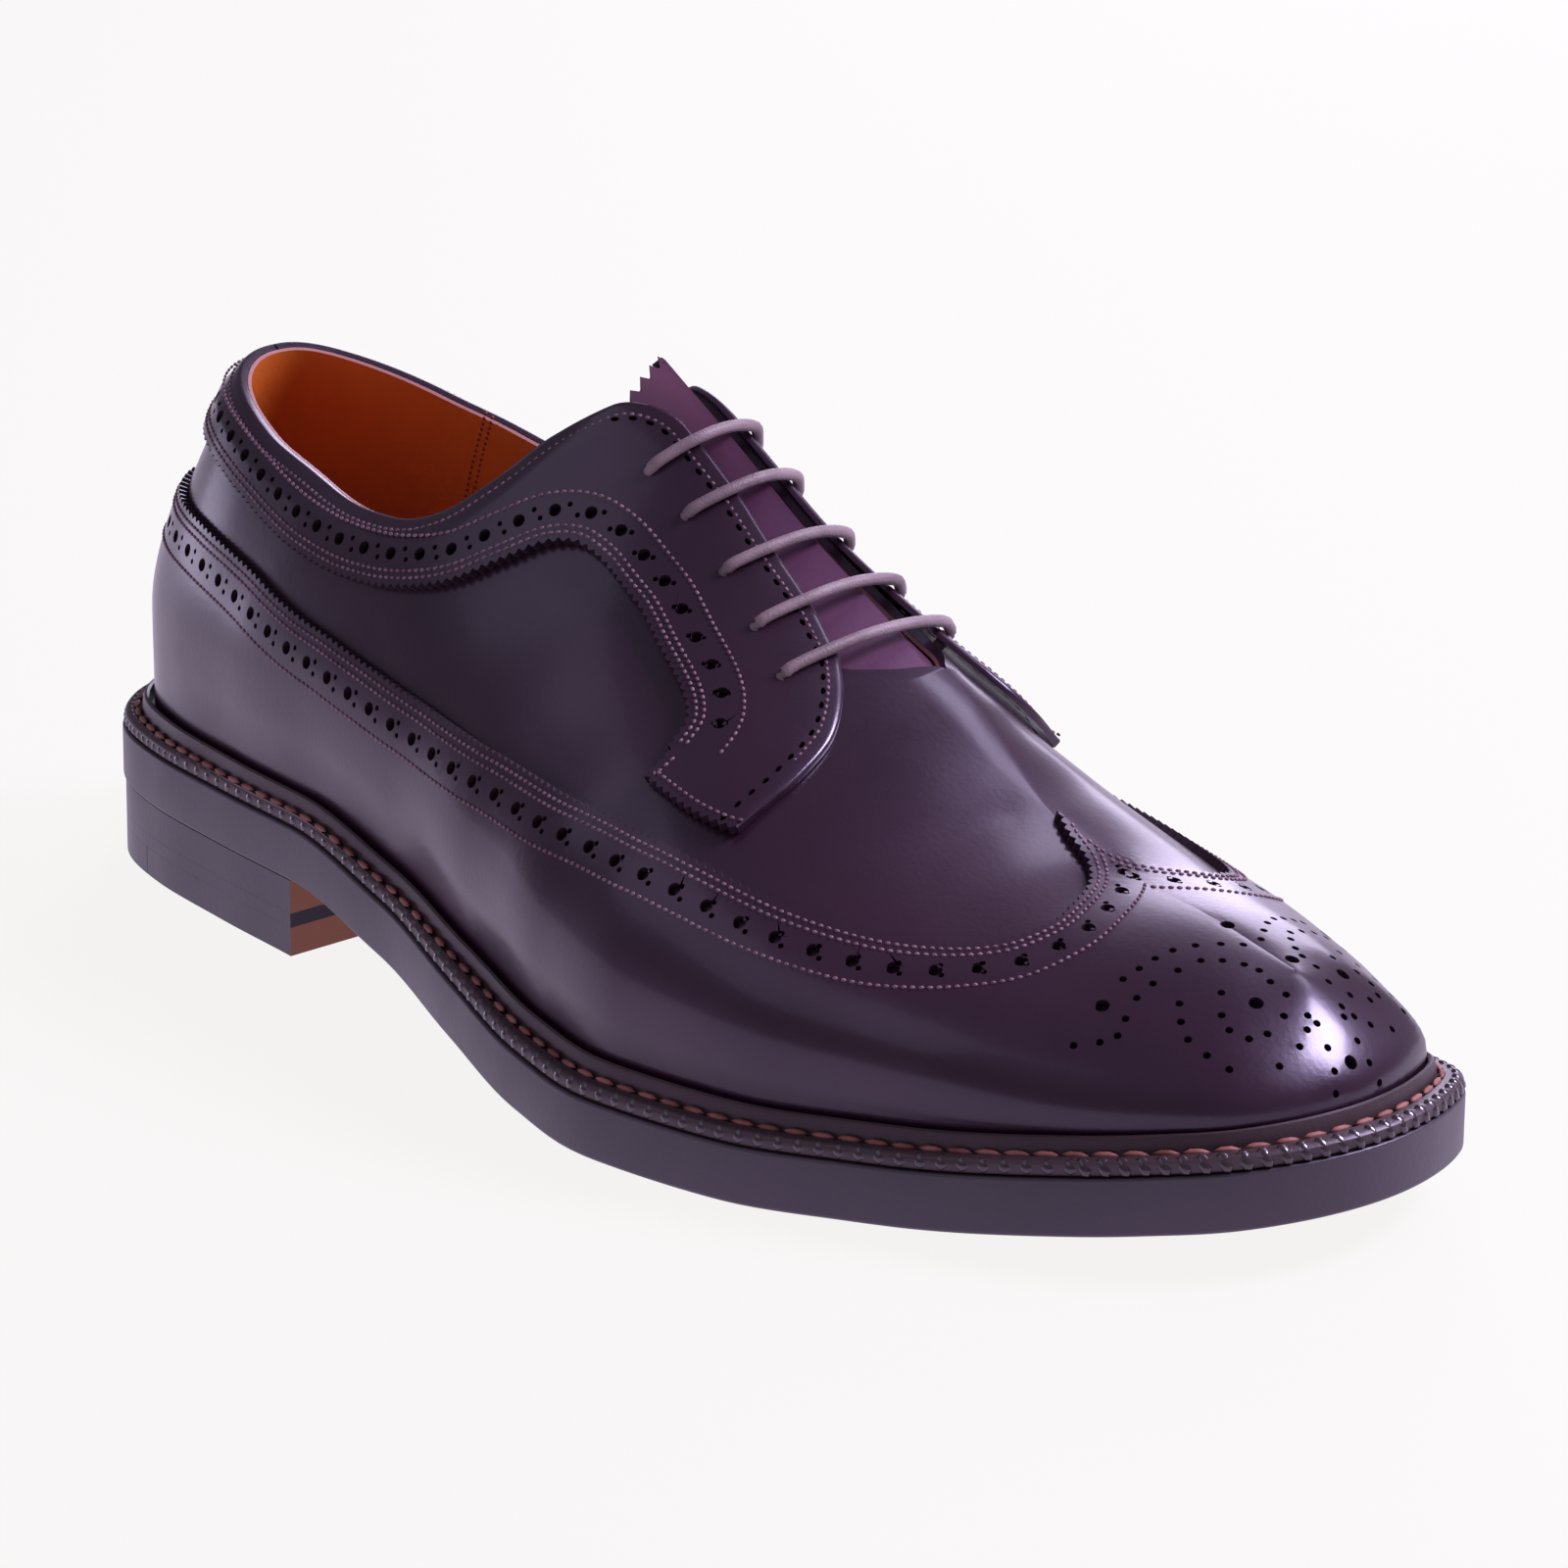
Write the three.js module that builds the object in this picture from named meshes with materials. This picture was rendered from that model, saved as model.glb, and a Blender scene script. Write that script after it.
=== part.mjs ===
// Longwing brogue, right shoe. Millimetres, X to the toe, Y to the inner side, Z up from the floor.
import * as THREE from 'three';

// Driving sizes
const SOLE_LENGTH = 310;
const BALL_WIDTH = 115;
const HEEL_LENGTH = 80;
const HEEL_HEIGHT = 14.6;
const TOE_SPRING = 10.1;
const TOE_SWING = 3.4;
const HEEL_RADIUS = 37;
const TOE_RADIUS = 42;
const OUTSOLE_THICKNESS = 10.4;
const WELT_THICKNESS = 3.2;
const WELT_EDGE = 0.5;
const LIP_HEIGHT = 2.5;
const LIP_WIDTH = 2.1;
const INSOLE_RISE = 2.2;
const HEEL_INSET = 0.4;
const TOP_PIECE_THICKNESS = 5.2;
const MIDDLE_LIFT_THICKNESS = 2.4;
const TOP_PIECE_JOINT = 27;
const GAP = 0.3;

// The last that the upper is shaped on
const INSTEP_HEIGHT = 77;
const NOSE_DEPTH = 14.5;
const CONE_LEAN = 80;
const FEATHER_REACH = 10.3;
const SIDE_BULGE_DEPTH = 2.5;
const BELLY_HEIGHT = 20;
const CONE_SWING = 12.5;

// Leather
const UPPER_THICKNESS = 2.2;
const WING_THICKNESS = 1.3;
const FACING_THICKNESS = 1.7;
const TONGUE_THICKNESS = 2.2;
const OUTER_FACING_LIFT = 0.35;
const INNER_FACING_LIFT = 1.6;
const TONGUE_CLEARANCE = 0.45;
const LACE_RADIUS = 1.2;
const LACE_RISE = 1.2;
const INSOLE_CLEARANCE = 1.1;
const LIP_CLEARANCE = 0.35;

// Half widths of the sole, as shares of the ball width, at shares of the length
const OUTLINE = [
  { at: 0.03, outer: 0.200, inner: 0.194 },
  { at: 0.10, outer: 0.290, inner: 0.300 },
  { at: 0.18, outer: 0.327, inner: 0.326 },
  { at: 0.27, outer: 0.358, inner: 0.313 },
  { at: 0.36, outer: 0.400, inner: 0.284 },
  { at: 0.45, outer: 0.469, inner: 0.288 },
  { at: 0.54, outer: 0.542, inner: 0.345 },
  { at: 0.62, outer: 0.574, inner: 0.412 },
  { at: 0.70, outer: 0.549, inner: 0.450 },
  { at: 0.78, outer: 0.482, inner: 0.445 },
  { at: 0.86, outer: 0.403, inner: 0.398 },
  { at: 0.93, outer: 0.304, inner: 0.323 },
  { at: 0.975, outer: 0.208, inner: 0.232 },
];

// Underside of the outsole: heel seat, arch, flat forefoot and toe spring, as shares of the heel
// height behind the flat and of the toe spring in front of it
const UNDERSIDE = [
  { at: 0.00, heel: 1.00, toe: 0.00 },
  { at: 0.262, heel: 1.00, toe: 0.00 },
  { at: 0.36, heel: 0.69, toe: 0.00 },
  { at: 0.46, heel: 0.31, toe: 0.00 },
  { at: 0.54, heel: 0.08, toe: 0.00 },
  { at: 0.60, heel: 0.00, toe: 0.00 },
  { at: 0.71, heel: 0.00, toe: 0.00 },
  { at: 0.80, heel: 0.00, toe: 0.15 },
  { at: 0.90, heel: 0.00, toe: 0.51 },
  { at: 1.00, heel: 0.00, toe: 1.00 },
];

// Sections of the last, as shares of named sizes. reach: sole edge to feather line, of FEATHER_REACH;
// bulge: how far the side stands out over the feather line, of SIDE_BULGE_DEPTH; belly: height of the
// widest point over the feather line, of BELLY_HEIGHT; ridge: height of the top, of INSTEP_HEIGHT;
// swing: sideways place of the top, of CONE_SWING. full and flat: how long the side stays upright
// and how flat the top lies.
const SECTIONS = [
  { at: 0.00, reach: 1.020, outerBulge: -0.20, innerBulge: -0.20, belly: 1.00, ridge: 1.948, swing: 0.00, full: 0.26, flat: 0.30 },
  { at: 0.12, reach: 0.874, outerBulge: 0.45, innerBulge: 0.45, belly: 1.00, ridge: 1.740, swing: 0.24, full: 0.26, flat: 0.30 },
  { at: 0.25, reach: 0.777, outerBulge: 1.00, innerBulge: 1.60, belly: 1.05, ridge: 1.468, swing: 0.60, full: 0.28, flat: 0.34 },
  { at: 0.33, reach: 0.825, outerBulge: 1.00, innerBulge: 2.60, belly: 1.05, ridge: 1.312, swing: 0.76, full: 0.32, flat: 0.42 },
  { at: 0.40, reach: 0.874, outerBulge: 1.00, innerBulge: 3.00, belly: 1.00, ridge: 1.169, swing: 0.88, full: 0.36, flat: 0.50 },
  { at: 0.50, reach: 0.971, outerBulge: 0.80, innerBulge: 2.40, belly: 0.90, ridge: 1.000, swing: 1.00, full: 0.42, flat: 0.56 },
  { at: 0.60, reach: 1.000, outerBulge: 0.60, innerBulge: 1.20, belly: 0.75, ridge: 0.850, swing: 0.92, full: 0.46, flat: 0.60 },
  { at: 0.70, reach: 1.000, outerBulge: 0.48, innerBulge: 0.64, belly: 0.60, ridge: 0.690, swing: 0.68, full: 0.50, flat: 0.62 },
  { at: 0.81, reach: 1.000, outerBulge: 0.40, innerBulge: 0.40, belly: 0.45, ridge: 0.580, swing: 0.60, full: 0.48, flat: 0.62 },
  { at: 0.90, reach: 1.020, outerBulge: 0.32, innerBulge: 0.32, belly: 0.26, ridge: 0.556, swing: 0.54, full: 0.28, flat: 0.60 },
  { at: 1.00, reach: 1.120, outerBulge: 0.24, innerBulge: 0.24, belly: 0.17, ridge: 0.506, swing: 0.48, full: 0.18, flat: 0.30 },
];

// Pattern lines on one side. Each row is a fold across the side: where it meets the feather line,
// the wing's edge, the facing's lower edge and the top edge. Along: share of the length. Up: share of the
// girth from feather line to ridge.
const FOLDS = [
  { foot: 0.00, footUp: 0.00, wing: 0.000, wingUp: 0.358, face: 0.000, faceUp: 0.437, top: 0.000, topUp: 0.512 },
  { foot: 0.05, footUp: 0.00, wing: 0.050, wingUp: 0.360, face: 0.050, faceUp: 0.437, top: 0.050, topUp: 0.507 },
  { foot: 0.11, footUp: 0.00, wing: 0.110, wingUp: 0.366, face: 0.110, faceUp: 0.433, top: 0.105, topUp: 0.505 },
  { foot: 0.17, footUp: 0.00, wing: 0.170, wingUp: 0.369, face: 0.171, faceUp: 0.429, top: 0.160, topUp: 0.515 },
  { foot: 0.23, footUp: 0.00, wing: 0.230, wingUp: 0.366, face: 0.226, faceUp: 0.440, top: 0.205, topUp: 0.527 },
  { foot: 0.29, footUp: 0.00, wing: 0.285, wingUp: 0.372, face: 0.270, faceUp: 0.464, top: 0.235, topUp: 0.545 },
  { foot: 0.34, footUp: 0.00, wing: 0.330, wingUp: 0.386, face: 0.304, faceUp: 0.507, top: 0.261, topUp: 0.575 },
  { foot: 0.38, footUp: 0.00, wing: 0.370, wingUp: 0.403, face: 0.327, faceUp: 0.561, top: 0.276, topUp: 0.630 },
  { foot: 0.42, footUp: 0.00, wing: 0.405, wingUp: 0.420, face: 0.341, faceUp: 0.628, top: 0.279, topUp: 0.700 },
  { foot: 0.45, footUp: 0.00, wing: 0.430, wingUp: 0.433, face: 0.352, faceUp: 0.690, top: 0.275, topUp: 0.790 },
  { foot: 0.48, footUp: 0.00, wing: 0.455, wingUp: 0.447, face: 0.368, faceUp: 0.722, top: 0.275, topUp: 0.865 },
  { foot: 0.51, footUp: 0.00, wing: 0.480, wingUp: 0.459, face: 0.395, faceUp: 0.732, top: 0.285, topUp: 0.912 },
  { foot: 0.54, footUp: 0.00, wing: 0.505, wingUp: 0.472, face: 0.428, faceUp: 0.732, top: 0.310, topUp: 0.937 },
  { foot: 0.57, footUp: 0.00, wing: 0.530, wingUp: 0.488, face: 0.471, faceUp: 0.716, top: 0.365, topUp: 0.938 },
  { foot: 0.60, footUp: 0.00, wing: 0.555, wingUp: 0.503, face: 0.512, faceUp: 0.700, top: 0.425, topUp: 0.926 },
  { foot: 0.63, footUp: 0.00, wing: 0.580, wingUp: 0.515, face: 0.532, faceUp: 0.678, top: 0.483, topUp: 0.913 },
  { foot: 0.66, footUp: 0.00, wing: 0.610, wingUp: 0.530, face: 0.546, faceUp: 0.629, top: 0.534, topUp: 0.897 },
  { foot: 0.69, footUp: 0.00, wing: 0.640, wingUp: 0.542, face: 0.575, faceUp: 0.640, top: 0.553, topUp: 0.950 },
  { foot: 0.72, footUp: 0.00, wing: 0.670, wingUp: 0.553, face: 0.605, faceUp: 0.680, top: 0.560, topUp: 1.000 },
  { foot: 0.799, footUp: 0.00, wing: 0.700, wingUp: 0.567, face: 0.640, faceUp: 0.730, top: 0.590, topUp: 1.000 },
  { foot: 0.868, footUp: 0.00, wing: 0.750, wingUp: 0.600, face: 0.672, faceUp: 0.780, top: 0.612, topUp: 1.000 },
  { foot: 0.924, footUp: 0.00, wing: 0.785, wingUp: 0.650, face: 0.697, faceUp: 0.820, top: 0.630, topUp: 1.000 },
  { foot: 0.966, footUp: 0.00, wing: 0.810, wingUp: 0.720, face: 0.715, faceUp: 0.860, top: 0.646, topUp: 1.000 },
  { foot: 0.991, footUp: 0.00, wing: 0.817, wingUp: 0.800, face: 0.725, faceUp: 0.900, top: 0.658, topUp: 1.000 },
  { foot: 1.00, footUp: 0.00, wing: 0.812, wingUp: 0.860, face: 0.730, faceUp: 0.930, top: 0.668, topUp: 1.000 },
  { foot: 1.00, footUp: 0.40, wing: 0.806, wingUp: 0.900, face: 0.731, faceUp: 0.950, top: 0.676, topUp: 1.000 },
  { foot: 1.00, footUp: 0.75, wing: 0.798, wingUp: 0.930, face: 0.731, faceUp: 0.965, top: 0.684, topUp: 1.000 },
  { foot: 1.00, footUp: 1.00, wing: 0.785, wingUp: 0.955, face: 0.730, faceUp: 0.978, top: 0.691, topUp: 1.000 },
  { foot: 0.93, footUp: 1.00, wing: 0.770, wingUp: 0.972, face: 0.727, faceUp: 0.986, top: 0.697, topUp: 1.000 },
  { foot: 0.86, footUp: 1.00, wing: 0.755, wingUp: 0.980, face: 0.724, faceUp: 0.990, top: 0.703, topUp: 1.000 },
  { foot: 0.79, footUp: 1.00, wing: 0.738, wingUp: 0.986, face: 0.720, faceUp: 0.994, top: 0.709, topUp: 1.000 },
  { foot: 0.715, footUp: 1.00, wing: 0.715, wingUp: 1.000, face: 0.715, faceUp: 1.000, top: 0.715, topUp: 1.000 },
];

// The facing's free front, from its rear fold to the swallow tail tip
const FACING_FRONT = [
  { face: 0.546, faceUp: 0.629, top: 0.534, topUp: 0.897 },
  { face: 0.549, faceUp: 0.578, top: 0.565, topUp: 0.868 },
  { face: 0.590, faceUp: 0.586, top: 0.600, topUp: 0.810 },
  { face: 0.615, faceUp: 0.600, top: 0.620, topUp: 0.710 },
  { face: 0.626, faceUp: 0.611, top: 0.626, topUp: 0.620 },
];

// Eyelets from the top down, as share of the length and of the girth, and where the lace leaves
// the facing's edge
const EYELETS = [
  { along: 0.339, up: 0.852, edge: 0.938 },
  { along: 0.382, up: 0.857, edge: 0.936 },
  { along: 0.436, up: 0.850, edge: 0.924 },
  { along: 0.489, up: 0.832, edge: 0.912 },
  { along: 0.537, up: 0.816, edge: 0.895 },
];

const OUTER = -1;
const INNER = 1;

// A smooth curve without overshoot through named columns of a table
function curve(xs, ys) {
  const n = xs.length;
  const h = [];
  const d = [];
  for (let i = 0; i < n - 1; i++) {
    h.push(xs[i + 1] - xs[i]);
    d.push((ys[i + 1] - ys[i]) / h[i]);
  }
  const m = [d[0]];
  for (let i = 1; i < n - 1; i++) {
    const w1 = 2 * h[i] + h[i - 1];
    const w2 = h[i] + 2 * h[i - 1];
    m.push(d[i - 1] * d[i] > 0 ? (w1 + w2) / (w1 / d[i - 1] + w2 / d[i]) : 0);
  }
  m.push(d[n - 2]);
  return (x) => {
    let i = 0;
    while (i < n - 2 && x >= xs[i + 1]) i++;
    const u = Math.min(1, Math.max(0, (x - xs[i]) / h[i]));
    const v = 1 - u;
    return ys[i] * (1 + 2 * u) * v * v + h[i] * m[i] * u * v * v
      + ys[i + 1] * u * u * (3 - 2 * u) - h[i] * m[i + 1] * u * u * v;
  };
}

const angleOf = (share) => Math.acos(1 - 2 * share);
const shareOf = (angle) => (1 - Math.cos(angle)) / 2;
const column = (table, key, name) => curve(table.map((r) => r[key]), table.map((r) => r[name]));

// Outline: half width divided by the sine of the length angle, so both ends round off
function halfWidth(name) {
  const end = (radius) => Math.sqrt(radius * SOLE_LENGTH / 2) / BALL_WIDTH;
  const angles = [0, ...OUTLINE.map((r) => angleOf(r.at)), Math.PI];
  const values = [end(HEEL_RADIUS), ...OUTLINE.map((r) => r[name] / Math.sin(angleOf(r.at))), end(TOE_RADIUS)];
  const ratio = curve(angles, values);
  return (angle) => BALL_WIDTH * ratio(angle) * Math.sin(angle);
}
const HALF = { [OUTER]: halfWidth('outer'), [INNER]: halfWidth('inner') };
const toeBend = (share) => TOE_SWING * Math.max(0, 2 * share - 1) ** 2;

// A point of the outline, moved inwards by inset
function outlinePoint(angle, side, inset) {
  const step = 1e-3;
  const a0 = Math.max(0, angle - step);
  const a1 = Math.min(Math.PI, angle + step);
  const dx = SOLE_LENGTH * (shareOf(a1) - shareOf(a0));
  const dw = HALF[side](a1) - HALF[side](a0);
  const length = Math.hypot(dx, dw);
  let nx = -dw / length;
  let nw = dx / length;
  if (angle < 2 * step) [nx, nw] = [-1, 0];
  if (angle > Math.PI - 2 * step) [nx, nw] = [1, 0];
  const share = shareOf(angle);
  return [SOLE_LENGTH * share - inset * nx, side * (HALF[side](angle) - inset * nw) + toeBend(share)];
}

const heelRise = column(UNDERSIDE, 'at', 'heel');
const toeRise = column(UNDERSIDE, 'at', 'toe');
const undersideAt = (share) => HEEL_HEIGHT * heelRise(share) + TOE_SPRING * toeRise(share);
const underside = (x) => undersideAt(Math.min(1, Math.max(0, x / SOLE_LENGTH)));
const outsoleTop = (x) => underside(x) + OUTSOLE_THICKNESS;
const weltTop = (x) => outsoleTop(x) + GAP + WELT_THICKNESS;

const section = {};
for (const name of Object.keys(SECTIONS[0])) section[name] = column(SECTIONS, 'at', name);

const reachAt = (share) => FEATHER_REACH * section.reach(share);

const mix = (a, b, u) => a.map((v, i) => v + (b[i] - v) * u);
function bezier(p, u) {
  const v = 1 - u;
  return [0, 1, 2].map((i) => p[0][i] * v ** 3 + 3 * p[1][i] * u * v * v + 3 * p[2][i] * u * u * v + p[3][i] * u ** 3);
}

// The last's surface: angle runs from heel to toe, up from feather line to ridge
function lastPoint(angle, up, side) {
  const share = shareOf(angle);
  const reach = reachAt(share);
  const bulge = SIDE_BULGE_DEPTH * section[side === OUTER ? 'outerBulge' : 'innerBulge'](share);
  const belly = BELLY_HEIGHT * section.belly(share);
  const foot = outlinePoint(angle, side, reach);
  const seat = weltTop(foot[0]) + GAP;
  foot.push(seat);
  const wide = [...outlinePoint(angle, side, reach - bulge), seat + belly];
  const ridge = [CONE_LEAN + (SOLE_LENGTH - NOSE_DEPTH - reachAt(1) - CONE_LEAN) * share,
    CONE_SWING * section.swing(share), INSTEP_HEIGHT * section.ridge(share)];
  const rise = ridge[2] - wide[2];
  const lowShare = belly / (belly + 0.9 * rise + 0.35 * Math.abs(wide[1] - ridge[1]));
  if (up < lowShare) {
    const first = mix(foot, wide, 0.45);
    first[2] += 0.25 * belly;
    return bezier([foot, first, [wide[0], wide[1], wide[2] - 0.45 * belly], wide], up / lowShare);
  }
  const over = mix(ridge, wide, section.flat(share));
  over[2] = ridge[2];
  return bezier([wide, [wide[0], wide[1], wide[2] + section.full(share) * rise], over, ridge],
    (up - lowShare) / (1 - lowShare));
}

function sideNormal(angle, up, side) {
  const step = 2e-3;
  const t = Math.min(Math.PI - 2 * step, Math.max(2 * step, angle));
  const a = Math.min(1 - 2 * step, Math.max(2 * step, up));
  const along = new THREE.Vector3(...lastPoint(t + step, a, side)).sub(new THREE.Vector3(...lastPoint(t - step, a, side)));
  const rise = new THREE.Vector3(...lastPoint(t, a + step, side)).sub(new THREE.Vector3(...lastPoint(t, a - step, side)));
  return along.cross(rise).multiplyScalar(-side).normalize();
}

// Seams shared by both sides take the mean of their normals; at the feather line walls stand upright
function skinPoint(angle, up, side, offset) {
  const normal = sideNormal(angle, up, side);
  const tiny = 1e-6;
  if (angle < tiny || angle > Math.PI - tiny || up > 1 - tiny) normal.add(sideNormal(angle, up, -side));
  normal.z *= Math.min(1, up / 0.12);
  normal.normalize().multiplyScalar(offset);
  const point = new THREE.Vector3(...lastPoint(angle, up, side)).add(normal);
  if (up < tiny) point.z = weltTop(point.x) + GAP;
  return point;
}

// The share at which the last passes a given x at a given height up the girth
const HALVINGS = 24;
function shareAtX(x, up, side) {
  let low = 0;
  let high = 1;
  for (let i = 0; i < HALVINGS; i++) {
    const middle = (low + high) / 2;
    if (lastPoint(angleOf(middle), up, side)[0] < x) low = middle;
    else high = middle;
  }
  return low;
}

// Collects triangles and merges equal points
class Skin {
  constructor() {
    this.points = [];
    this.faces = [];
    this.known = new Map();
  }

  index(p) {
    const key = [p.x, p.y, p.z].map((v) => Math.round(v * 500)).join(',');
    if (!this.known.has(key)) {
      this.known.set(key, this.points.length / 3);
      this.points.push(p.x, p.y, p.z);
    }
    return this.known.get(key);
  }

  triangle(a, b, c) {
    const [i, j, k] = [this.index(a), this.index(b), this.index(c)];
    if (i !== j && j !== k && i !== k) this.faces.push(i, j, k);
  }

  quad(a, b, c, d) {
    if (a.distanceTo(c) <= b.distanceTo(d)) {
      this.triangle(a, b, c);
      this.triangle(a, c, d);
    } else {
      this.triangle(a, b, d);
      this.triangle(b, c, d);
    }
  }

  sheet(rows, flip) {
    for (let i = 0; i < rows.length - 1; i++) {
      for (let j = 0; j < rows[i].length - 1; j++) {
        const q = [rows[i][j], rows[i + 1][j], rows[i + 1][j + 1], rows[i][j + 1]];
        if (flip) q.reverse();
        this.quad(...q);
      }
    }
  }

  mesh(name, color, roughness) {
    const geometry = new THREE.BufferGeometry();
    geometry.setAttribute('position', new THREE.Float32BufferAttribute(this.points, 3));
    geometry.setIndex(this.faces);
    geometry.translate(-HEEL_LENGTH / 2, 0, 0);
    const flat = geometry.toNonIndexed();
    flat.computeVertexNormals();
    const material = new THREE.MeshStandardMaterial({ color, roughness });
    material.name = name;
    const mesh = new THREE.Mesh(flat, material);
    mesh.name = name;
    return mesh;
  }
}

// A closed wall between two offsets of the last. columns: lists of [angle, up] from low to high edge.
// open: which of the four borders are free edges there, told per column for low and high.
function wallSide(skin, columns, side, offsets, borders) {
  const inner = columns.map((c, i) => c.map(([t, a]) => skinPoint(t, a, side, offsets.inner(i, side))));
  const outer = columns.map((c, i) => c.map(([t, a]) => skinPoint(t, a, side, offsets.outer(i, side))));
  const flip = side === INNER;
  skin.sheet(outer, flip);
  skin.sheet(inner, !flip);
  const last = columns[0].length - 1;
  for (let i = 0; i < columns.length - 1; i++) {
    for (const row of [0, last]) {
      if (!borders(columns[i][row], columns[i + 1][row])) continue;
      const q = [outer[i][row], inner[i][row], inner[i + 1][row], outer[i + 1][row]];
      if ((row === 0) === flip) q.reverse();
      skin.quad(...q);
    }
  }
  return { inner, outer };
}
const FREE = ([t0, a0], [t1, a1]) => !((a0 > 1 - 1e-6 && a1 > 1 - 1e-6) || (t0 > Math.PI - 1e-6 && t1 > Math.PI - 1e-6));

// Cap across the first or last column of a wall
function cap(skin, wall, index, flip) {
  const { inner, outer } = wall;
  for (let j = 0; j < inner[index].length - 1; j++) {
    const q = [outer[index][j], outer[index][j + 1], inner[index][j + 1], inner[index][j]];
    if (flip) q.reverse();
    skin.quad(...q);
  }
}

// Places along the folds at which the walls are cut into columns
const THROAT_FOLD = 10;
const FACING_END = 16;
const TIP_FOLD = 19;
const STEP_RUNS = [
  { from: 0, to: 1, steps: 4 },
  { from: 1, to: THROAT_FOLD, steps: 14 },
  { from: THROAT_FOLD, to: FACING_END, steps: 8 },
  { from: FACING_END, to: TIP_FOLD, steps: 5 },
  { from: TIP_FOLD, to: FOLDS.length - 1, steps: 22 },
];
const FOLD_STEPS = [0];
for (const run of STEP_RUNS) {
  for (let k = 1; k <= run.steps; k++) FOLD_STEPS.push(run.from + (run.to - run.from) * k / run.steps);
}

// Curves through the folds; places along the length are turned to angles first, so both ends stay round
function foldCurves(table) {
  const curves = {};
  for (const name of Object.keys(table[0])) {
    const values = table.map((r) => (name.endsWith('Up') ? r[name] : angleOf(r[name])));
    curves[name] = curve(values.map((v, i) => i), values);
  }
  return curves;
}
const fold = foldCurves(FOLDS);
const spot = (curves, name, u) => [Math.min(Math.PI, curves[name](u)), Math.min(1, curves[`${name}Up`](u))];

const between = (low, high, shares) => shares.map((u) => [low[0] + (high[0] - low[0]) * u, low[1] + (high[1] - low[1]) * u]);

const WING_ROWS = [0, 0.11, 0.24, 0.39, 0.63, 1];
const QUARTER_ROWS = [0, 1 / 3, 2 / 3, 1];
const FACING_ROWS = [0, 1 / 3, 2 / 3, 1];
const wingColumn = (u) => between(spot(fold, 'foot', u), spot(fold, 'wing', u), WING_ROWS);
const quarterColumn = (u) => between(spot(fold, 'wing', u), spot(fold, 'face', u), QUARTER_ROWS);
const facingColumn = (u) => between(spot(fold, 'face', u), spot(fold, 'top', u), FACING_ROWS);

function buildUpper() {
  const skin = new Skin();
  const offsets = { inner: () => 0, outer: () => UPPER_THICKNESS };
  const columns = FOLD_STEPS.map((u) => [...wingColumn(u), ...quarterColumn(u).slice(1), ...facingColumn(u).slice(1)]);
  for (const side of [OUTER, INNER]) wallSide(skin, columns, side, offsets, FREE);
  return skin.mesh('upper', 0x3a2430, 0.35);
}

const OVERLAY_BASE = UPPER_THICKNESS + GAP;

function buildWing() {
  const skin = new Skin();
  const columns = FOLD_STEPS.map(wingColumn);
  const offsets = { inner: () => OVERLAY_BASE, outer: () => OVERLAY_BASE + WING_THICKNESS };
  for (const side of [OUTER, INNER]) wallSide(skin, columns, side, offsets, FREE);
  return skin.mesh('wing', 0x33202b, 0.3);
}

// Facings stand off the vamp towards their free front, the inner one more
const FACING_LIFT = { [OUTER]: OUTER_FACING_LIFT, [INNER]: INNER_FACING_LIFT };
const LIFT_START = 0.42;
const LIFT_FULL = 0.58;
const facingLift = (share, side) => FACING_LIFT[side] * Math.min(1, Math.max(0, (share - LIFT_START) / (LIFT_FULL - LIFT_START)));

const BACK_SEAM = 0.006;
const FRONT_STEP = 0.5;
function buildFacing(side) {
  const skin = new Skin();
  const columns = FOLD_STEPS.filter((u) => u <= FACING_END).map(facingColumn);
  const front = foldCurves(FACING_FRONT);
  for (let u = FRONT_STEP; u <= FACING_FRONT.length - 1; u += FRONT_STEP) {
    columns.push(between(spot(front, 'face', u), spot(front, 'top', u), FACING_ROWS));
  }
  // the two collar bands meet at the back seam with a hairline between them
  columns[0] = columns[0].map(([, a]) => [BACK_SEAM, a]);
  const lift = columns.map((c) => facingLift(shareOf(c[c.length - 1][0]), side));
  const offsets = {
    inner: (i) => OVERLAY_BASE + lift[i],
    outer: (i) => OVERLAY_BASE + lift[i] + FACING_THICKNESS,
  };
  const wall = wallSide(skin, columns, side, offsets, () => true);
  cap(skin, wall, 0, side === INNER);
  cap(skin, wall, columns.length - 1, side === OUTER);
  return skin.mesh(side === OUTER ? 'outer_facing' : 'inner_facing', 0x33202b, 0.3);
}

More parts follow.
